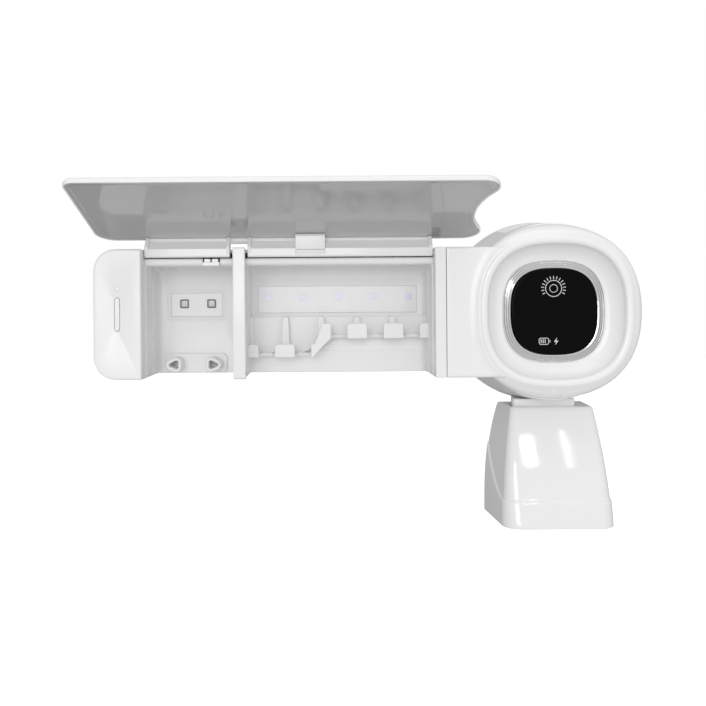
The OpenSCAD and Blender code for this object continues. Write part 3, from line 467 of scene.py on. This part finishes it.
# ---- Lid sensor ----
# A small white housing let into the ceiling's bar, with two windows over a dark interior, which feels the lid.
dark = plastic("dark_plastic", (0.02, 0.02, 0.022), 0.3)
sensor_x = (sensor_low[0] + sensor_high[0]) / 2
sensor_base = 2.1
eye_out, eye_half = 2.1, 1.7
parts = [block((sensor_low[0], sensor_high[0]), (sensor_low[1], sensor_high[1]),
               (sensor_low[2], sensor_low[2] + sensor_base), 0.3)]
for x in (sensor_x - eye_out, sensor_x + eye_out):
    parts.append(block((x - eye_half, x + eye_half), (sensor_low[1] + 0.25, sensor_low[1] + 2),
                       (sensor_low[2] + sensor_base - 0.2, sensor_high[2]), 0.3, 0.5))
sensor = build("lid_sensor_body", parts, gloss_white)
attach(sensor, "main_unit")
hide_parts("lid_sensor")
inside = block((sensor_low[0] + 0.05, sensor_high[0] - 0.05), (sensor_low[1] + 0.9, sensor_high[1]),
               (sensor_low[2] + 1, sensor_high[2] - 0.3), 0.2)
sensor_inside = build("lid_sensor_inside", [inside], dark)
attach(sensor_inside, "main_unit")

# ---- Divider ----
# An upright white wall between the bays, slid in from the front, with a rounded foot and a low cap at its top.
cap_back = divider_low[1] + 3.5
foot_z = divider_low[2]
cap = rectangle((divider_low[1], cap_back), (foot_z, divider_high[2]), (1.6, 0.3, 0.4, 0.7))
wall_points = [(cap_back - 0.3, foot_z + 0.02), (divider_high[1], foot_z + 0.02), (divider_high[1], roof_under),
               (roof_front - 0.3, roof_under), (roof_front - 0.3, divider_high[2] - 0.02),
               (cap_back - 0.3, divider_high[2] - 0.02)]
divider = build("divider", [moulding(cap, ends(divider_low[0], divider_high[0], 0.5), axis=0),
                            moulding(lambda inset: rounded(wall_points, 0.2, inset),
                                     ends(divider_left, divider_right, 0.2), axis=0)], gloss_white)
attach(divider, "main_unit")
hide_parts("divider_wall")

# ---- Brush rack ----
# One satin moulding on the back wall: teeth between five slots, two slots on the low level and three on the high
# one with a ramp between, a lip along the front of each tooth, and a post behind each tooth.
pitch, first_slot, slot_half = 20.8, 10.0, 4.7
slots = divider_high[0] + first_slot + pitch * np.arange(5)
low_shelf, high_shelf = rack_low[2], rack_low[2] + 10.5
rack_t = 2.0
rack_front, rack_back = rack_low[1], floor_front
plate_front = rack_back - rack_t
shelf_front = plate_front - 6
round_y = shelf_front - slot_half


def tooth(x0, x1, z0, z1, open_left, open_right):
    """A tooth in plan, counter-clockwise from its front left: straight sides that flare by a quarter circle of half a
    slot at the back, carried up by the plate's thickness and sheared so that it climbs from z0 at x0 to z1 at x1."""
    a, b = x0 - slot_half * open_left, x1 + slot_half * open_right
    points = [(x0 + 0.1, rack_front + 0.4), (x1 - 0.1, rack_front + 0.4)]
    radii = [0.5, 0.5]
    if open_right:
        points.append((x1, round_y + slot_half))
        radii.append(slot_half - 0.05)
    points += [(b, round_y + slot_half), (b, rack_back), (a, rack_back), (a, round_y + slot_half)]
    radii += [0.03] * 4
    if open_left:
        points.append((x0, round_y + slot_half))
        radii.append(slot_half - 0.05)
    v, f = moulding(lambda inset: rounded(points, radii, inset), ends(0.0, rack_t, 0.3, flat=0.05), axis=2)
    v[:, 2] += np.interp(v[:, 0], (x0, x1), (z0, z1)) + 0.02
    return v, f


def lip(x0, x1, z0, z1, height, top_height, r):
    """The upright lip of a tooth: a four-sided outline from the tooth's underside up, with round top corners."""
    points = [(x0, z0), (x1, z1), (x1, z1 + top_height), (x0, z0 + height)]
    outline = lambda inset: rounded(points, (0.4, 0.4, r, r), inset)
    return moulding(outline, ends(rack_front + 0.3, rack_front + rack_t, 0.4))


low_lip, high_lip = 7.4, 8.6
post_foot, post_top = 2.7, 1.7
parts = []
lefts = [rack_low[0], *(slots + slot_half)]
rights = [*(slots - slot_half), rack_high[0]]
for i, (x0, x1) in enumerate(zip(lefts, rights)):
    z0 = low_shelf if i <= 2 else high_shelf
    z1 = low_shelf if i < 2 else high_shelf
    parts.append(tooth(x0, x1, z0, z1, i > 0, i < 5))
    h0, h1 = (low_lip if i <= 2 else high_lip), (low_lip if i < 2 else high_lip)
    if i == 2:
        low_top, high_top = low_shelf + low_lip, high_shelf + high_lip
        ramp = [(x0, low_shelf), (x0 + 1.2, low_shelf), (x1 - 0.8, high_shelf), (x1, high_shelf), (x1, high_top),
                (x0 + 6.5, high_top), (x0 + 2.2, low_top), (x0, low_top)]
        parts.append(moulding(lambda inset, p=ramp: rounded(p, (0.3, 0.3, 0.3, 0.3, 1.2, 0.8, 0.8, 0.8), inset),
                              ends(rack_front, rack_front + rack_t, 0.3)))
    else:
        parts.append(lip(x0, x1, z0, z1, h0, h1, 1.5))
        band = 2.9 if i < 2 else 1.2
        parts.append(block((x0 + 0.02, x1 - 0.02), (rack_front, rack_front + 1), (z0 - 0.02, z0 + band), 0.25, 0.2))
    post = slots[0] - pitch / 2 + pitch * i
    left, right = max(post - post_foot, rack_low[0] + 0.1), min(post + post_foot, rack_high[0] - 0.1)
    flared = [(left, z1 + 0.5), (right, z1 + 0.5), (min(post + post_top, right), rack_high[2]),
              (max(post - post_top, left), rack_high[2])]
    flare = lambda inset, q=flared: rounded(q, 0.4, inset)
    parts.append(moulding(flare, ends(shelf_front, rack_back, 0.4, flat=0.2)))
ramp_x = (slots[1] + slot_half, slots[2] - slot_half)
plate = [(rack_low[0], low_shelf), (ramp_x[0], low_shelf), (ramp_x[1], high_shelf), (rack_high[0], high_shelf),
         (rack_high[0], rack_high[2]), (rack_low[0], rack_high[2])]
backing = lambda inset: rounded(plate, 0.4, inset)
parts.append(moulding(backing, ends(plate_front, rack_back, 0.3, 0.05, flat=0.05)))
for x, z in (((rack_low[0], ramp_x[0]), low_shelf), ((ramp_x[1], rack_high[0]), high_shelf)):
    parts.append(block(x, (shelf_front, plate_front + 0.1), (z, z + rack_t + 0.04), 0.05, 0.1))
rack = build("rack", parts, satin_white)
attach(rack, "main_unit")
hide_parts("brush_rack")

# ---- Razor hook ----
# A bridge on the back wall of the razor bay with a looped arm at each side of the handle's gap, in satin white.
hook_low, hook_high = box_of("razor_hook")
hook_x = (hook_low[0] + hook_high[0]) / 2
arm_back = hook_high[1] - 2.4
bridge = rectangle((hook_low[0], hook_high[0]), (hook_low[2], hook_high[2]), 3.0)
parts = [moulding(bridge, ends(arm_back, hook_high[1], 0.6))]
rim = 1.9
near, far, tip_rise = 7.0, 20.6, 5.2
for s in (-1, 1):
    corners = [(hook_x + s * near, hook_low[2]), (hook_x + s * far, hook_low[2] + tip_rise),
               (hook_x + s * near, hook_high[2])][::s]
    loop = lambda inset, p=corners: rounded(p, 2.9, inset)
    stations = edge(0.7, hook_low[1], 1)[1:] + [(0.0, arm_back + 0.2), (rim, arm_back + 0.2)]
    stations += [(rim, hook_low[1] + 0.8), (rim - 0.2, hook_low[1] + 0.3), (rim - 0.7, hook_low[1])]
    parts.append(moulding(loop, stations, wrap=True))
hook = build("hook", parts, satin_white)
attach(hook, "main_unit")
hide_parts("razor_hook")

# ---- Lid ----
# A thin gloss white tray with a grey high-gloss liner set into its underside. Its right end is cut away in an arc
# that clears the head, between two round horns. It is worked out closed and then swung open about its hinge.
hinge = next(j for j in frame["joints"] if j["name"] == "lid_hinge")
hinge_at = np.array(hinge["pos_m"]) / MM
swing = -math.radians(max(hinge["range_deg"]))
bezel_low, bezel_high = box_of("chrome_bezel")
head_x = (bezel_low[0] + bezel_high[0]) / 2
lid_in = cover_low[1] - 0.6
lid_t = 3.2
lid_out = lid_in - lid_t
lid_left, lid_bottom, lid_top = cover_low[0] - 0.5, cover_low[2] - 1.5, cover_high[2] + 1
liner_t = 1.2
lid_rim = 1.0
arc_r, horn_r, rear_r, free_r = 46.8, 9.5, 11.0, 6.0


def opened(part):
    """A part turned about the hinge axis from closed to open: y' = y cos a - z sin a, z' = y sin a + z cos a."""
    v, f = part
    y, z = v[:, 1] - hinge_at[1], v[:, 2] - hinge_at[2]
    turned = np.stack([v[:, 0], y * math.cos(swing) - z * math.sin(swing) + hinge_at[1],
                       y * math.sin(swing) + z * math.cos(swing) + hinge_at[2]], 1)
    return turned, f


def lid_outline(inset):
    """Arcs joined by straight lines: two corners at the left, and at the right two horns that touch a hollow arc
    about the head, with their centres arc_r + horn_r from the head's. The hollow arc's radius gains the inset."""
    reach = arc_r + horn_r
    upper = (head_x - math.sqrt(reach ** 2 - (lid_top - horn_r) ** 2), lid_top - horn_r)
    lower = (head_x - math.sqrt(reach ** 2 - (lid_bottom + horn_r) ** 2), lid_bottom + horn_r)
    down = math.atan2(-upper[1], head_x - upper[0])
    up = math.atan2(-lower[1], head_x - lower[0])
    arcs = [
        (lid_left + rear_r, lid_top - rear_r, rear_r - inset, math.pi / 2, math.pi, 16),
        (lid_left + free_r, lid_bottom + free_r, free_r - inset, math.pi, 1.5 * math.pi, 12),
        (*lower, horn_r - inset, -math.pi / 2, up, 20),
        (head_x, 0.0, arc_r + inset, up + math.pi, down + math.pi, 64),
        (*upper, horn_r - inset, down, math.pi / 2, 20),
    ]
    curves = []
    for x, z, r, first, last, count in arcs:
        a = np.linspace(first, last, count)
        curves.append(np.stack([x + r * np.cos(a), z + r * np.sin(a)], 1))
    return np.vstack(curves)


tray = edge(1.5, lid_out, 1, steps=6) + [(0.0, lid_in - 0.25), (0.07, lid_in - 0.07), (0.25, lid_in)]
tray += [(lid_rim - 0.2, lid_in), (lid_rim, lid_in - 0.2), (lid_rim, lid_in - liner_t)]
lid_shell = build("lid_tray", [opened(moulding(lid_outline, tray))], gloss_white)
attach(lid_shell, "lid")
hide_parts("lid_shell")

grey_gloss = plastic("grey_liner", (0.5, 0.5, 0.505), 0.09, grain=0.0, waves=0.012, coat=0.6)
sheet = [(lid_rim + inset, lid_in - depth) for inset, depth in (
    (0.35, liner_t), (0.05, liner_t - 0.1), (0.05, 0.25), (0.2, 0.12), (1.9, 0.1), (2.2, 0.3), (2.6, 0.3))]
lid_liner = build("lid_liner_sheet", [opened(moulding(lid_outline, sheet))], grey_gloss)
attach(lid_liner, "lid")
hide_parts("lid_liner")

# ---- Lid hinge frame and stay clip ----
# One white moulding on the lid's underside: a sloping web with a flat-faced block around the hinge pins, which stands
# out by a small step, a notch over the divider, and gussets at the ends. The clip is a slotted thumb block on it.
frame_x = (razor_wall + 0.5, bulkhead - 0.5)
notch = (divider_low[0] - 1.8, divider_high[0] + 1.2)
on_lid, foot_y = lid_in - hinge_at[1], lid_in - hinge_at[1] + 1.4


def about_hinge(points, radii, x, r=0.3):
    """A section given from the hinge axis as (y, z) with the lid closed, carried along X and opened."""
    path = [(y + hinge_at[1], z + hinge_at[2]) for y, z in points]
    return opened(moulding(lambda inset: rounded(path, radii, inset, 4), ends(*x, r, flat=0.1), axis=0))


web = [(on_lid, 0.7), (foot_y, 0.7), (foot_y + 0.05, 0.95), (-2.2, -2.4), (-2.05, -2.75), (1.75, -1.55), (2.25, -0.6),
       (1.6, 1.45), (-0.75, 2.2), (foot_y, 2.2), (foot_y, 3.2), (on_lid, 3.2)]
notch_y = -math.hypot(divider_low[1] - hinge_at[1], divider_high[2] - hinge_at[2]) - 0.4
lintel = [(on_lid, 0.72), (foot_y, 0.72), (foot_y + 0.05, 0.97), (notch_y, 0.05), (notch_y, 2.18), (foot_y, 2.18),
          (foot_y, 3.18), (on_lid, 3.18)]
gusset_t = 2.0
gusset = [(on_lid, -0.6), (-3.0, -3.3), (-1.0, -3.0), (0.6, -2.3), (0.5, -1.0), (foot_y, 1.0), (on_lid, 1.0)]
parts = [about_hinge(lintel, (0.2, 0.1, 0.1, 0.3, 0.3, 0.1, 0.3, 0.3), (notch[0] - 1, notch[1] + 1))]
for x in ((frame_x[0], notch[0]), (notch[1], frame_x[1])):
    parts.append(about_hinge(web, (0.2, 0.1, 0.1, 0.05, 0.12, 0.5, 0.5, 0.6, 0.5, 0.1, 0.3, 0.3), x))
    for left in (x[0] - 0.01, x[1] - gusset_t + 0.01):
        parts.append(about_hinge(gusset, (0.2, 0.8, 0.8, 0.7, 0.2, 0.2, 0.2), (left, left + gusset_t)))
hinge_frame = build("hinge_frame", parts, gloss_white)
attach(hinge_frame, "lid")
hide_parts("lid_hinge_frame")

clip_low, clip_high = box_of("lid_stay_clip")
clip_x = (clip_low[0], clip_high[0])
body = [(on_lid, -5.2), (foot_y + 0.3, -5.9), (-1.3, -3.42), (-1.15, -2.75), (-2.2, -2.6), (foot_y, 0.7),
        (on_lid, 0.7)]
end = [(-1.0, -3.3), (1.3, -1.95), (1.1, -1.85), (-1.0, -2.5)]
parts = [about_hinge(body, (0.3, 0.6, 0.2, 0.2, 0.2, 0.2, 0.2), clip_x),
         about_hinge(end, (0.2, 0.15, 0.1, 0.1), clip_x)]
stay_clip = build("stay_clip", parts, gloss_white)
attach(stay_clip, "lid")
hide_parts("lid_stay_clip")

# ---- Head front cover ----
# The round head's front in gloss white: a sloped shoulder that turns from a circle into a softly squared ring, the
# ring's round crest, a bowl behind it, and to the left a flat link to the bays whose face sweeps up into the ring.
crest_y = box_of("head_front_cover")[0][1]
seam_y = -42.0
seam_r = 49.0
ring_foot, ring_r, dish_r = 43.4, 42.2, 37.2
dish_y = cover_low[1] + 6.5
square = 2.6
flat_ratio = 0.985
shoulder_y, shoulder_turn = -51.3, math.radians(72)
a = np.linspace(0, shoulder_turn, 14)
inwards = (1 - np.cos(a)) / (1 - math.cos(shoulder_turn))
forwards = np.sin(a) / math.sin(shoulder_turn)
shoulder = list(zip(seam_r + (ring_foot - seam_r) * inwards, seam_y + (shoulder_y - seam_y) * forwards,
                    2 + (square - 2) * np.linspace(0, 1, 14)))
crest_half, crest_h = (ring_r - dish_r) / 2, 1.9
b = np.linspace(0.95, math.pi, 14)
crest = [(ring_r - crest_half + crest_half * math.cos(t), crest_y + crest_h - crest_h * math.sin(t), square) for t in b]
bowl_end, bowl_y = 28.5, crest_y + crest_h
c = np.linspace(0, 1, 14)[1:]
bowl = [(dish_r - (dish_r - bowl_end) * t, bowl_y + (dish_y - bowl_y) * math.sin(t * math.pi / 2) ** 0.8,
         square + 0.1 * t) for t in c]
outer = [(0.03, dish_y, 2.7), (20.0, dish_y, 2.7), *bowl[::-1], *crest[::-1], *shoulder[::-1]]
head_t = 1.8
inner = [(seam_r - head_t, seam_y, 2.0), (ring_foot - 1.5, -49.0, square), (dish_r + 1.0, -51.0, square),
         (bowl_end + 3.0, dish_y + head_t, square), (0.03, dish_y + head_t, 2.7)]
dish = disc((head_x, 0.0), outer + inner, flatten=flat_ratio, around=192)

link_x = (house_high[0] + seam_half, head_x - 30)
link_z = cover_high[2]
link_w = link_x[1] - link_x[0]
along = np.concatenate([[0.0, 0.1, 0.3], np.linspace(1.0, link_w - 0.5, 60), [link_w]])
sweep_rise, sweep_width = 1.3, 6.0


def link_front(inset):
    """The link's section in (y, z): a rectangle whose front is a row of many points, with round front corners."""
    r = 1.3
    t = np.linspace(0, math.pi / 2, 7)
    z_edge = link_z - inset
    low = np.stack([cover_low[1] + inset + r * (1 - np.sin(t)), -z_edge + r * (1 - np.cos(t))], 1)
    face = np.linspace(-z_edge + r, z_edge - r, 61)[1:-1]
    front_row = np.stack([np.full(face.size, cover_low[1] + inset), face], 1)
    high = low[::-1] * (1, -1)
    return np.vstack([[(house_high[1], -z_edge)], low, front_row, high, [(house_high[1], z_edge)]])


# The link ends in a curve under the crest, x = head_x - reach(z), and its last ring is the end's foot. Its front
# rises by a power of the distance to the ring, (1 - gap / width) ^ 2.5, where the gap is the superellipse's radius
# less the ring's.
insets = np.interp(along, (0.0, 0.1, 0.3), (0.3, 0.1, 0.0))
rows = np.array([np.insert(link_front(i), 0, link_x[0] + x, axis=1) for i, x in zip(insets, along)])
under_ring = ring_r - 2.0
reach = under_ring * (1 - (np.abs(rows[..., 2]) / (under_ring * flat_ratio)) ** square) ** (1 / square)
rows[..., 0] = link_x[0] + (rows[..., 0] - link_x[0]) * (head_x - reach - link_x[0]) / link_w
out = (np.abs(rows[..., 0] - head_x) / ring_r) ** square + np.abs(rows[..., 2] / (ring_r * flat_ratio)) ** square
gap = ring_r * (out ** (1 / square) - 1)
rise = sweep_rise * (1 - np.clip(gap / sweep_width, 0, 1)) ** 2.5
rows[..., 1] -= np.where(rows[..., 1] < cover_low[1] + 1.5, rise, 0.0)
last = rows[-1:].copy()
last[..., 1] = house_high[1]
rows = np.concatenate([rows, last])
front_cover = build("head_cover", [skin(dish), skin(rows)], gloss_white, sharp=50)
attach(front_cover, "main_unit")
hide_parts("head_front_cover")

# ---- Bezel and display ----
# A plated plastic ring in steps, softly squared, frames a black gloss window. The marks are printed in light grey
# on the window: a sun over its upper half, and a battery with a bolt near its lower edge.
bezel_r = (bezel_high[0] - bezel_low[0]) / 2
panel_low, panel_high = box_of("display_panel")
panel_r = (panel_high[0] - panel_low[0]) / 2
bezel_square = 2.75
steps = [(bezel_r - inset, dish_y - rise) for inset, rise in (
    (0.0, -0.3), (0.0, 0.5), (0.3, 0.85), (0.5, 0.85), (0.6, 0.2), (0.85, 0.2), (1.0, 1.0), (1.6, 1.2), (1.7, 0.7),
    (1.95, 0.7), (2.1, 1.35), (2.7, 1.55), (2.8, 1.1), (3.0, 1.1), (3.15, 1.75), (3.7, 1.95))]
steps += [(panel_r + 0.3, dish_y - 1.8), (panel_r + 0.15, dish_y - 1.4), (panel_r + 0.1, dish_y + 0.3)]
chrome = bpy.data.materials.new("chrome")
chrome.use_nodes = True
tree = chrome.node_tree
tree.nodes.clear()
place = wire(tree, "ShaderNodeTexCoord").outputs["Object"]
haze = wire(tree, "ShaderNodeTexNoise", Vector=place, Scale=220.0, Detail=4.0)
blur = wire(tree, "ShaderNodeMapRange", Value=haze.outputs["Fac"], To_Min=0.04, To_Max=0.16)
relief = wire(tree, "ShaderNodeBump", Height=haze.outputs["Fac"], Strength=0.03, Distance=0.001)
metal = wire(tree, "ShaderNodeBsdfPrincipled", Base_Color=(0.66, 0.66, 0.67, 1.0), Metallic=1.0,
             Roughness=blur.outputs[0], Normal=relief.outputs[0])
wire(tree, "ShaderNodeOutputMaterial", Surface=metal.outputs[0])
rings = disc((head_x, 0.0), steps, bezel_square, around=160)
bezel = build("bezel", [skin(rings, wrap=True)], chrome, sharp=25)
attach(bezel, "main_unit")
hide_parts("chrome_bezel")

black_gloss = plastic("black_gloss", (0.0015, 0.0015, 0.0018), 0.1, grain=0.0, waves=0.0, specular=0.07)
glass = [(panel_r - 0.8, panel_low[1]), (panel_r - 0.5, panel_low[1]), (panel_r - 0.2, panel_low[1] + 0.12),
         (panel_r, panel_low[1] + 0.4), (panel_r, dish_y + 0.3)]
display = build("display", [skin(disc((head_x, 0.0), glass, bezel_square, around=160))], black_gloss)
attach(display, "main_unit")
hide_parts("display_panel")

print_front, print_back = panel_low[1] - 0.06, panel_low[1] + 0.05
line = 0.42


def stroke(points, width=line):
    """A printed stroke, a thin plate with round ends from the first point to the second."""
    p, q = np.array(points, float)
    d = (q - p) / np.linalg.norm(q - p) * width / 2
    n = np.array([-d[1], d[0]])
    corners = [p - d - n, q + d - n, q + d + n, p - d + n]
    return printed(lambda inset: rounded(corners, width * 0.45, inset, 3))


def printed(outline):
    """A printed shape: its outline carried through the ink's thickness."""
    return moulding(outline, [(0.0, print_front), (0.0, print_back)])


def ring_mark(centre, r, width=line):
    """A printed ring about a centre."""
    path = [(r, print_front), (r, print_back), (r - width, print_back), (r - width, print_front)]
    return skin(disc(centre, path, around=64), wrap=True)


sun = (head_x - 0.6, 12.6)
sun_r = 4.6
marks = [ring_mark(sun, sun_r), ring_mark(sun, 2.3, 0.35)]
for t in np.radians(np.linspace(-27, 207, 15)):
    way = np.array([math.cos(t), math.sin(t)])
    marks.append(stroke([sun + way * (sun_r + 0.75), sun + way * (sun_r + 2.0)], 0.45))
battery = (head_x - 6.0, -16.2)
case = rectangle((battery[0] - 2.9, battery[0] + 2.7), (battery[1] - 1.9, battery[1] + 1.9), 1.2)
case_path = [(0.0, print_front), (0.0, print_back), (0.4, print_back), (0.4, print_front)]
marks.append(moulding(case, case_path, wrap=True))
for s in (-1.6, -0.5, 0.6):
    marks.append(stroke([(battery[0] + s, battery[1] - 0.8), (battery[0] + s, battery[1] + 0.8)], 0.55))
marks.append(stroke([(battery[0] + 3.2, battery[1] - 0.5), (battery[0] + 3.2, battery[1] + 0.5)], 0.4))
bolt = np.array([(0.5, 2.1), (-1.3, -0.4), (-0.1, -0.4), (-0.5, -2.1), (1.3, 0.4), (0.1, 0.4)])
bolt += (battery[0] + 6.6, battery[1])
marks.append(printed(lambda inset: rounded(bolt, 0.06, inset, 2)))
ink = plastic("grey_ink", (0.62, 0.62, 0.63), 0.4)
printing = build("display_marks", marks, ink)
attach(printing, "main_unit")

# ---- Dispenser neck ----
# A square white stub under the head, which the pump hangs from and the shroud slides over.
neck_low, neck_high = box_of("dispenser_neck")
taper = 4.0
plan = [(neck_low[0], neck_low[1]), (neck_high[0], neck_low[1]), (neck_high[0] - taper, neck_high[1]),
        (neck_low[0] + taper, neck_high[1])]
neck_plan = lambda inset: rounded(plan, 2.0, inset)
neck_in_head = 3.0
neck = build("neck", [moulding(neck_plan, ends(neck_low[2], neck_high[2] - neck_in_head, 0.5), axis=2)], gloss_white)
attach(neck, "main_unit")
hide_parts("dispenser_neck")

# ---- Shroud ----
# A deep white hood around the pump that flares downwards, narrow at the wall and wide in front, with round front
# corners. Below a line that sweeps up along its sides it stands out by a small step. It is open underneath.
shroud_low, shroud_high = box_of("dispenser_shroud")
wall_y = shroud_high[1]
hood_t = 2.0
hood_x = (shroud_low[0] + shroud_high[0]) / 2
full_half = (shroud_high[0] - shroud_low[0]) / 2
full_depth = -shroud_low[1]
hood_h = shroud_high[2] - shroud_low[2]
step_out = 0.7
back_top, front_top, depth_top = 25.2, 23.5, 28.5
front_less = 2.6
corner_top, corner_gain = 2.8, 6.2


def columns():
    """The way round a section: back, side, front corner, front, corner and side. Each column has its factors on the
    back's half width, the front's, the back's place and the front's, and the direction of its corner arc."""
    back = np.linspace(-0.96, 0.96, 9)
    down = np.linspace(0, 1, 17)
    arc = np.radians(np.linspace(0, -90, 15))[1:-1]
    front_row = np.linspace(1, -1, 25)
    cols = [(b, 0, 1, 0, 0, 0) for b in back]
    cols += [(1 - d, d, 1 - d, d, d, 0) for d in down]
    cols += [(0, 1, 0, 1, math.cos(t), math.sin(t)) for t in arc]
    cols += [(0, f, 0, 1, 0, -1) for f in front_row]
    cols += [(0, -1, 0, 1, -math.cos(t), math.sin(t)) for t in arc[::-1]]
    cols += [(d - 1, -d, 1 - d, d, -d, 0) for d in down[::-1]]
    return np.array(cols).T


def section(z, back_half, front_half, depth, r, back_y, middle):
    """Points of a section at height z, which may be a row of values, one to each column."""
    bx, fx, by, fy, cx, cy = columns()
    x = middle + bx * back_half + fx * (front_half - r) + r * cx
    y = by * back_y + fy * (r - depth) + r * cy
    return np.stack([x, y, np.broadcast_to(z, x.shape)], 1)


def hood(z, grow):
    """The hood's section at height z, drawn out by grow. Its widths and depth change from the top's to the bottom's
    with the share t of the way down: value = top + (bottom - top) (1 - (1 - t)^p), and its corner radius evenly."""
    t = np.clip((shroud_high[2] - z) / hood_h, 0, 1)
    flare = lambda first, last, power: first + (last - first) * (1 - (1 - t) ** power)
    back_half = flare(back_top, full_half - step_out, 2.7)
    front_half = flare(front_top, full_half - step_out - front_less, 1.7)
    depth = flare(depth_top, full_depth - step_out, 1.2)
    r = np.clip(corner_top + corner_gain * t, 0.5 - grow, None) + 0.9 * grow
    return section(z, back_half + grow, front_half + grow, depth + grow, r, wall_y - max(-grow, 0), hood_x)


bx, fx, by, fy, cx, cy = columns()
level = np.ones(bx.size)
skirt_front, skirt_back = shroud_low[2] + 14.5, shroud_low[2] + 41
skirt = skirt_front + (skirt_back - skirt_front) * np.clip(by, 0, 1) ** 1.5
top, bottom = shroud_high[2], shroud_low[2]
rings = []
top_r = 1.1
for share, drop in ((0.0, 0.0), (0.3, 0.09), (0.62, 0.32), (0.86, 0.66), (1.0, top_r)):
    rings.append(hood(level * (top - drop), -top_r * (1 - share)))
under_top = top - top_r
for t in np.linspace(0.03, 0.985, 24):
    rings.append(hood(under_top + (skirt + 0.5 - under_top) * t, 0.0))
rings += [hood(skirt + 0.45, 0.05), hood(skirt + 0.05, 0.35 * step_out), hood(skirt - 0.4, 0.85 * step_out)]
under_step = skirt - 0.9
rings.append(hood(under_step, step_out))
for t in np.linspace(0.08, 0.97, 10):
    rings.append(hood(under_step + (bottom - under_step) * t, step_out))
for rise, inset in ((0.2, 0.0), (0.02, 0.25), (0.0, 0.6), (0.0, hood_t - 0.3), (0.3, hood_t)):
    rings.append(hood(level * (bottom + rise), step_out - inset))
for t in np.linspace(0.1, 1.0, 10):
    rings.append(hood(level * (bottom + (hood_h - hood_t) * t), -hood_t + step_out * max(0.0, 1 - 4 * t)))
mouth_gap, mouth_r = 0.4, 1.5
mouth = (neck_high[0] - neck_low[0]) / 2 + mouth_gap
for z, grow in ((top - hood_t, 0.0), (top - 0.3, 0.0), (top, 0.25)):
    rings.append(section(level * z, mouth + grow, mouth + grow, -neck_low[1] + mouth_gap + grow, mouth_r,
                         wall_y - hood_t, head_x))
polished_white = plastic("polished_white", (0.88, 0.88, 0.885), 0.06, grain=0.0, waves=0.03, coat=0.4)
shroud = build("shroud_hood", [skin(np.array(rings), wrap=True)], polished_white, sharp=40)
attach(shroud, "shroud")
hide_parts("dispenser_shroud")

# ---- Pieces that keep their frame shapes ----
# The back cover, the bracket, the head's shell and what is inside keep the shapes of the frame. Their edges are
# broken by a small bevel, and each has the finish of its own stuff.


def finished(node, material, width=0.3):
    """Gives a node its finish and a bevel over its welded edges."""
    piece = frame["nodes"][node]
    piece.data.materials.clear()
    piece.data.materials.append(material)
    piece.data.shade_smooth()
    weld = piece.modifiers.new("weld", "WELD")
    weld.merge_threshold = 1e-6
    bevel = piece.modifiers.new("bevel", "BEVEL")
    bevel.width = width * MM
    bevel.segments = 2
    bevel.limit_method = "ANGLE"
    bevel.angle_limit = math.radians(35)
    piece.modifiers.new("normals", "WEIGHTED_NORMAL")


def simple_metal(name, colour, roughness):
    """Turned or drawn metal with fine streaks round its form: a noise stretched along X."""
    material = bpy.data.materials.new(name)
    material.use_nodes = True
    tree = material.node_tree
    tree.nodes.clear()
    place = wire(tree, "ShaderNodeTexCoord").outputs["Object"]
    drawn = wire(tree, "ShaderNodeMapping", Vector=place, Scale=(400.0, 6000.0, 6000.0))
    streaks = wire(tree, "ShaderNodeTexNoise", Vector=drawn.outputs[0], Scale=1.0, Detail=3.0)
    blur = wire(tree, "ShaderNodeMapRange", Value=streaks.outputs["Fac"], To_Min=roughness * 0.7,
                To_Max=roughness * 1.4)
    relief = wire(tree, "ShaderNodeBump", Height=streaks.outputs["Fac"], Strength=0.1, Distance=0.0002)
    body = wire(tree, "ShaderNodeBsdfPrincipled", Base_Color=(*colour, 1.0), Metallic=1.0, Roughness=blur.outputs[0],
                Normal=relief.outputs[0])
    wire(tree, "ShaderNodeOutputMaterial", Surface=body.outputs[0])
    return material


steel = simple_metal("steel", (0.56, 0.56, 0.57), 0.3)
circuit_green = plastic("circuit_board", (0.02, 0.13, 0.05), 0.35, grain=0.2)
foam = plastic("foam", (0.2, 0.2, 0.205), 0.9, grain=0.9)
matte_grey = plastic("bracket_plastic", (0.72, 0.72, 0.72), 0.5, grain=0.15)
cell_blue = plastic("cell_wrap", (0.03, 0.11, 0.42), 0.2, coat=0.4)
black_matte = plastic("cradle_plastic", (0.08, 0.08, 0.085), 0.55, grain=0.2)
ribbon_grey = plastic("ribbon", (0.66, 0.66, 0.68), 0.45)
silicone = plastic("silicone", (0.74, 0.74, 0.75), 0.55, grain=0.1)
led_violet = plastic("led_pack", (0.7, 0.68, 0.82), 0.15, coat=0.3)
for node, material, width in [
    ("head_housing", gloss_white, 0.5), ("rear_cover", satin_white, 0.35), ("wall_bracket", matte_grey, 0.25),
    ("adhesive_pads", foam, 0.1), ("housing_screws", steel, 0.15), ("hinge_pins", steel, 0.1), ("lever_pin", steel, 0.15),
    ("battery_cell", cell_blue, 0.3), ("battery_cradle", black_matte, 0.2), ("charge_port", steel, 0.1),
    ("ribbon_cable", ribbon_grey, 0.1), ("button_board", circuit_green, 0.1), ("control_board", circuit_green, 0.1),
    ("brush_uv_board", circuit_green, 0.1), ("razor_uv_board", circuit_green, 0.1), ("brush_uv_leds", led_violet, 0.1),
    ("tube_seal", silicone, 0.3), ("pump_body", satin_white, 0.4), ("pump_bladder", silicone, 0.3),
    ("outlet_valve", silicone, 0.3), ("push_lever", satin_white, 0.4),
]:
    finished(node, material, width)
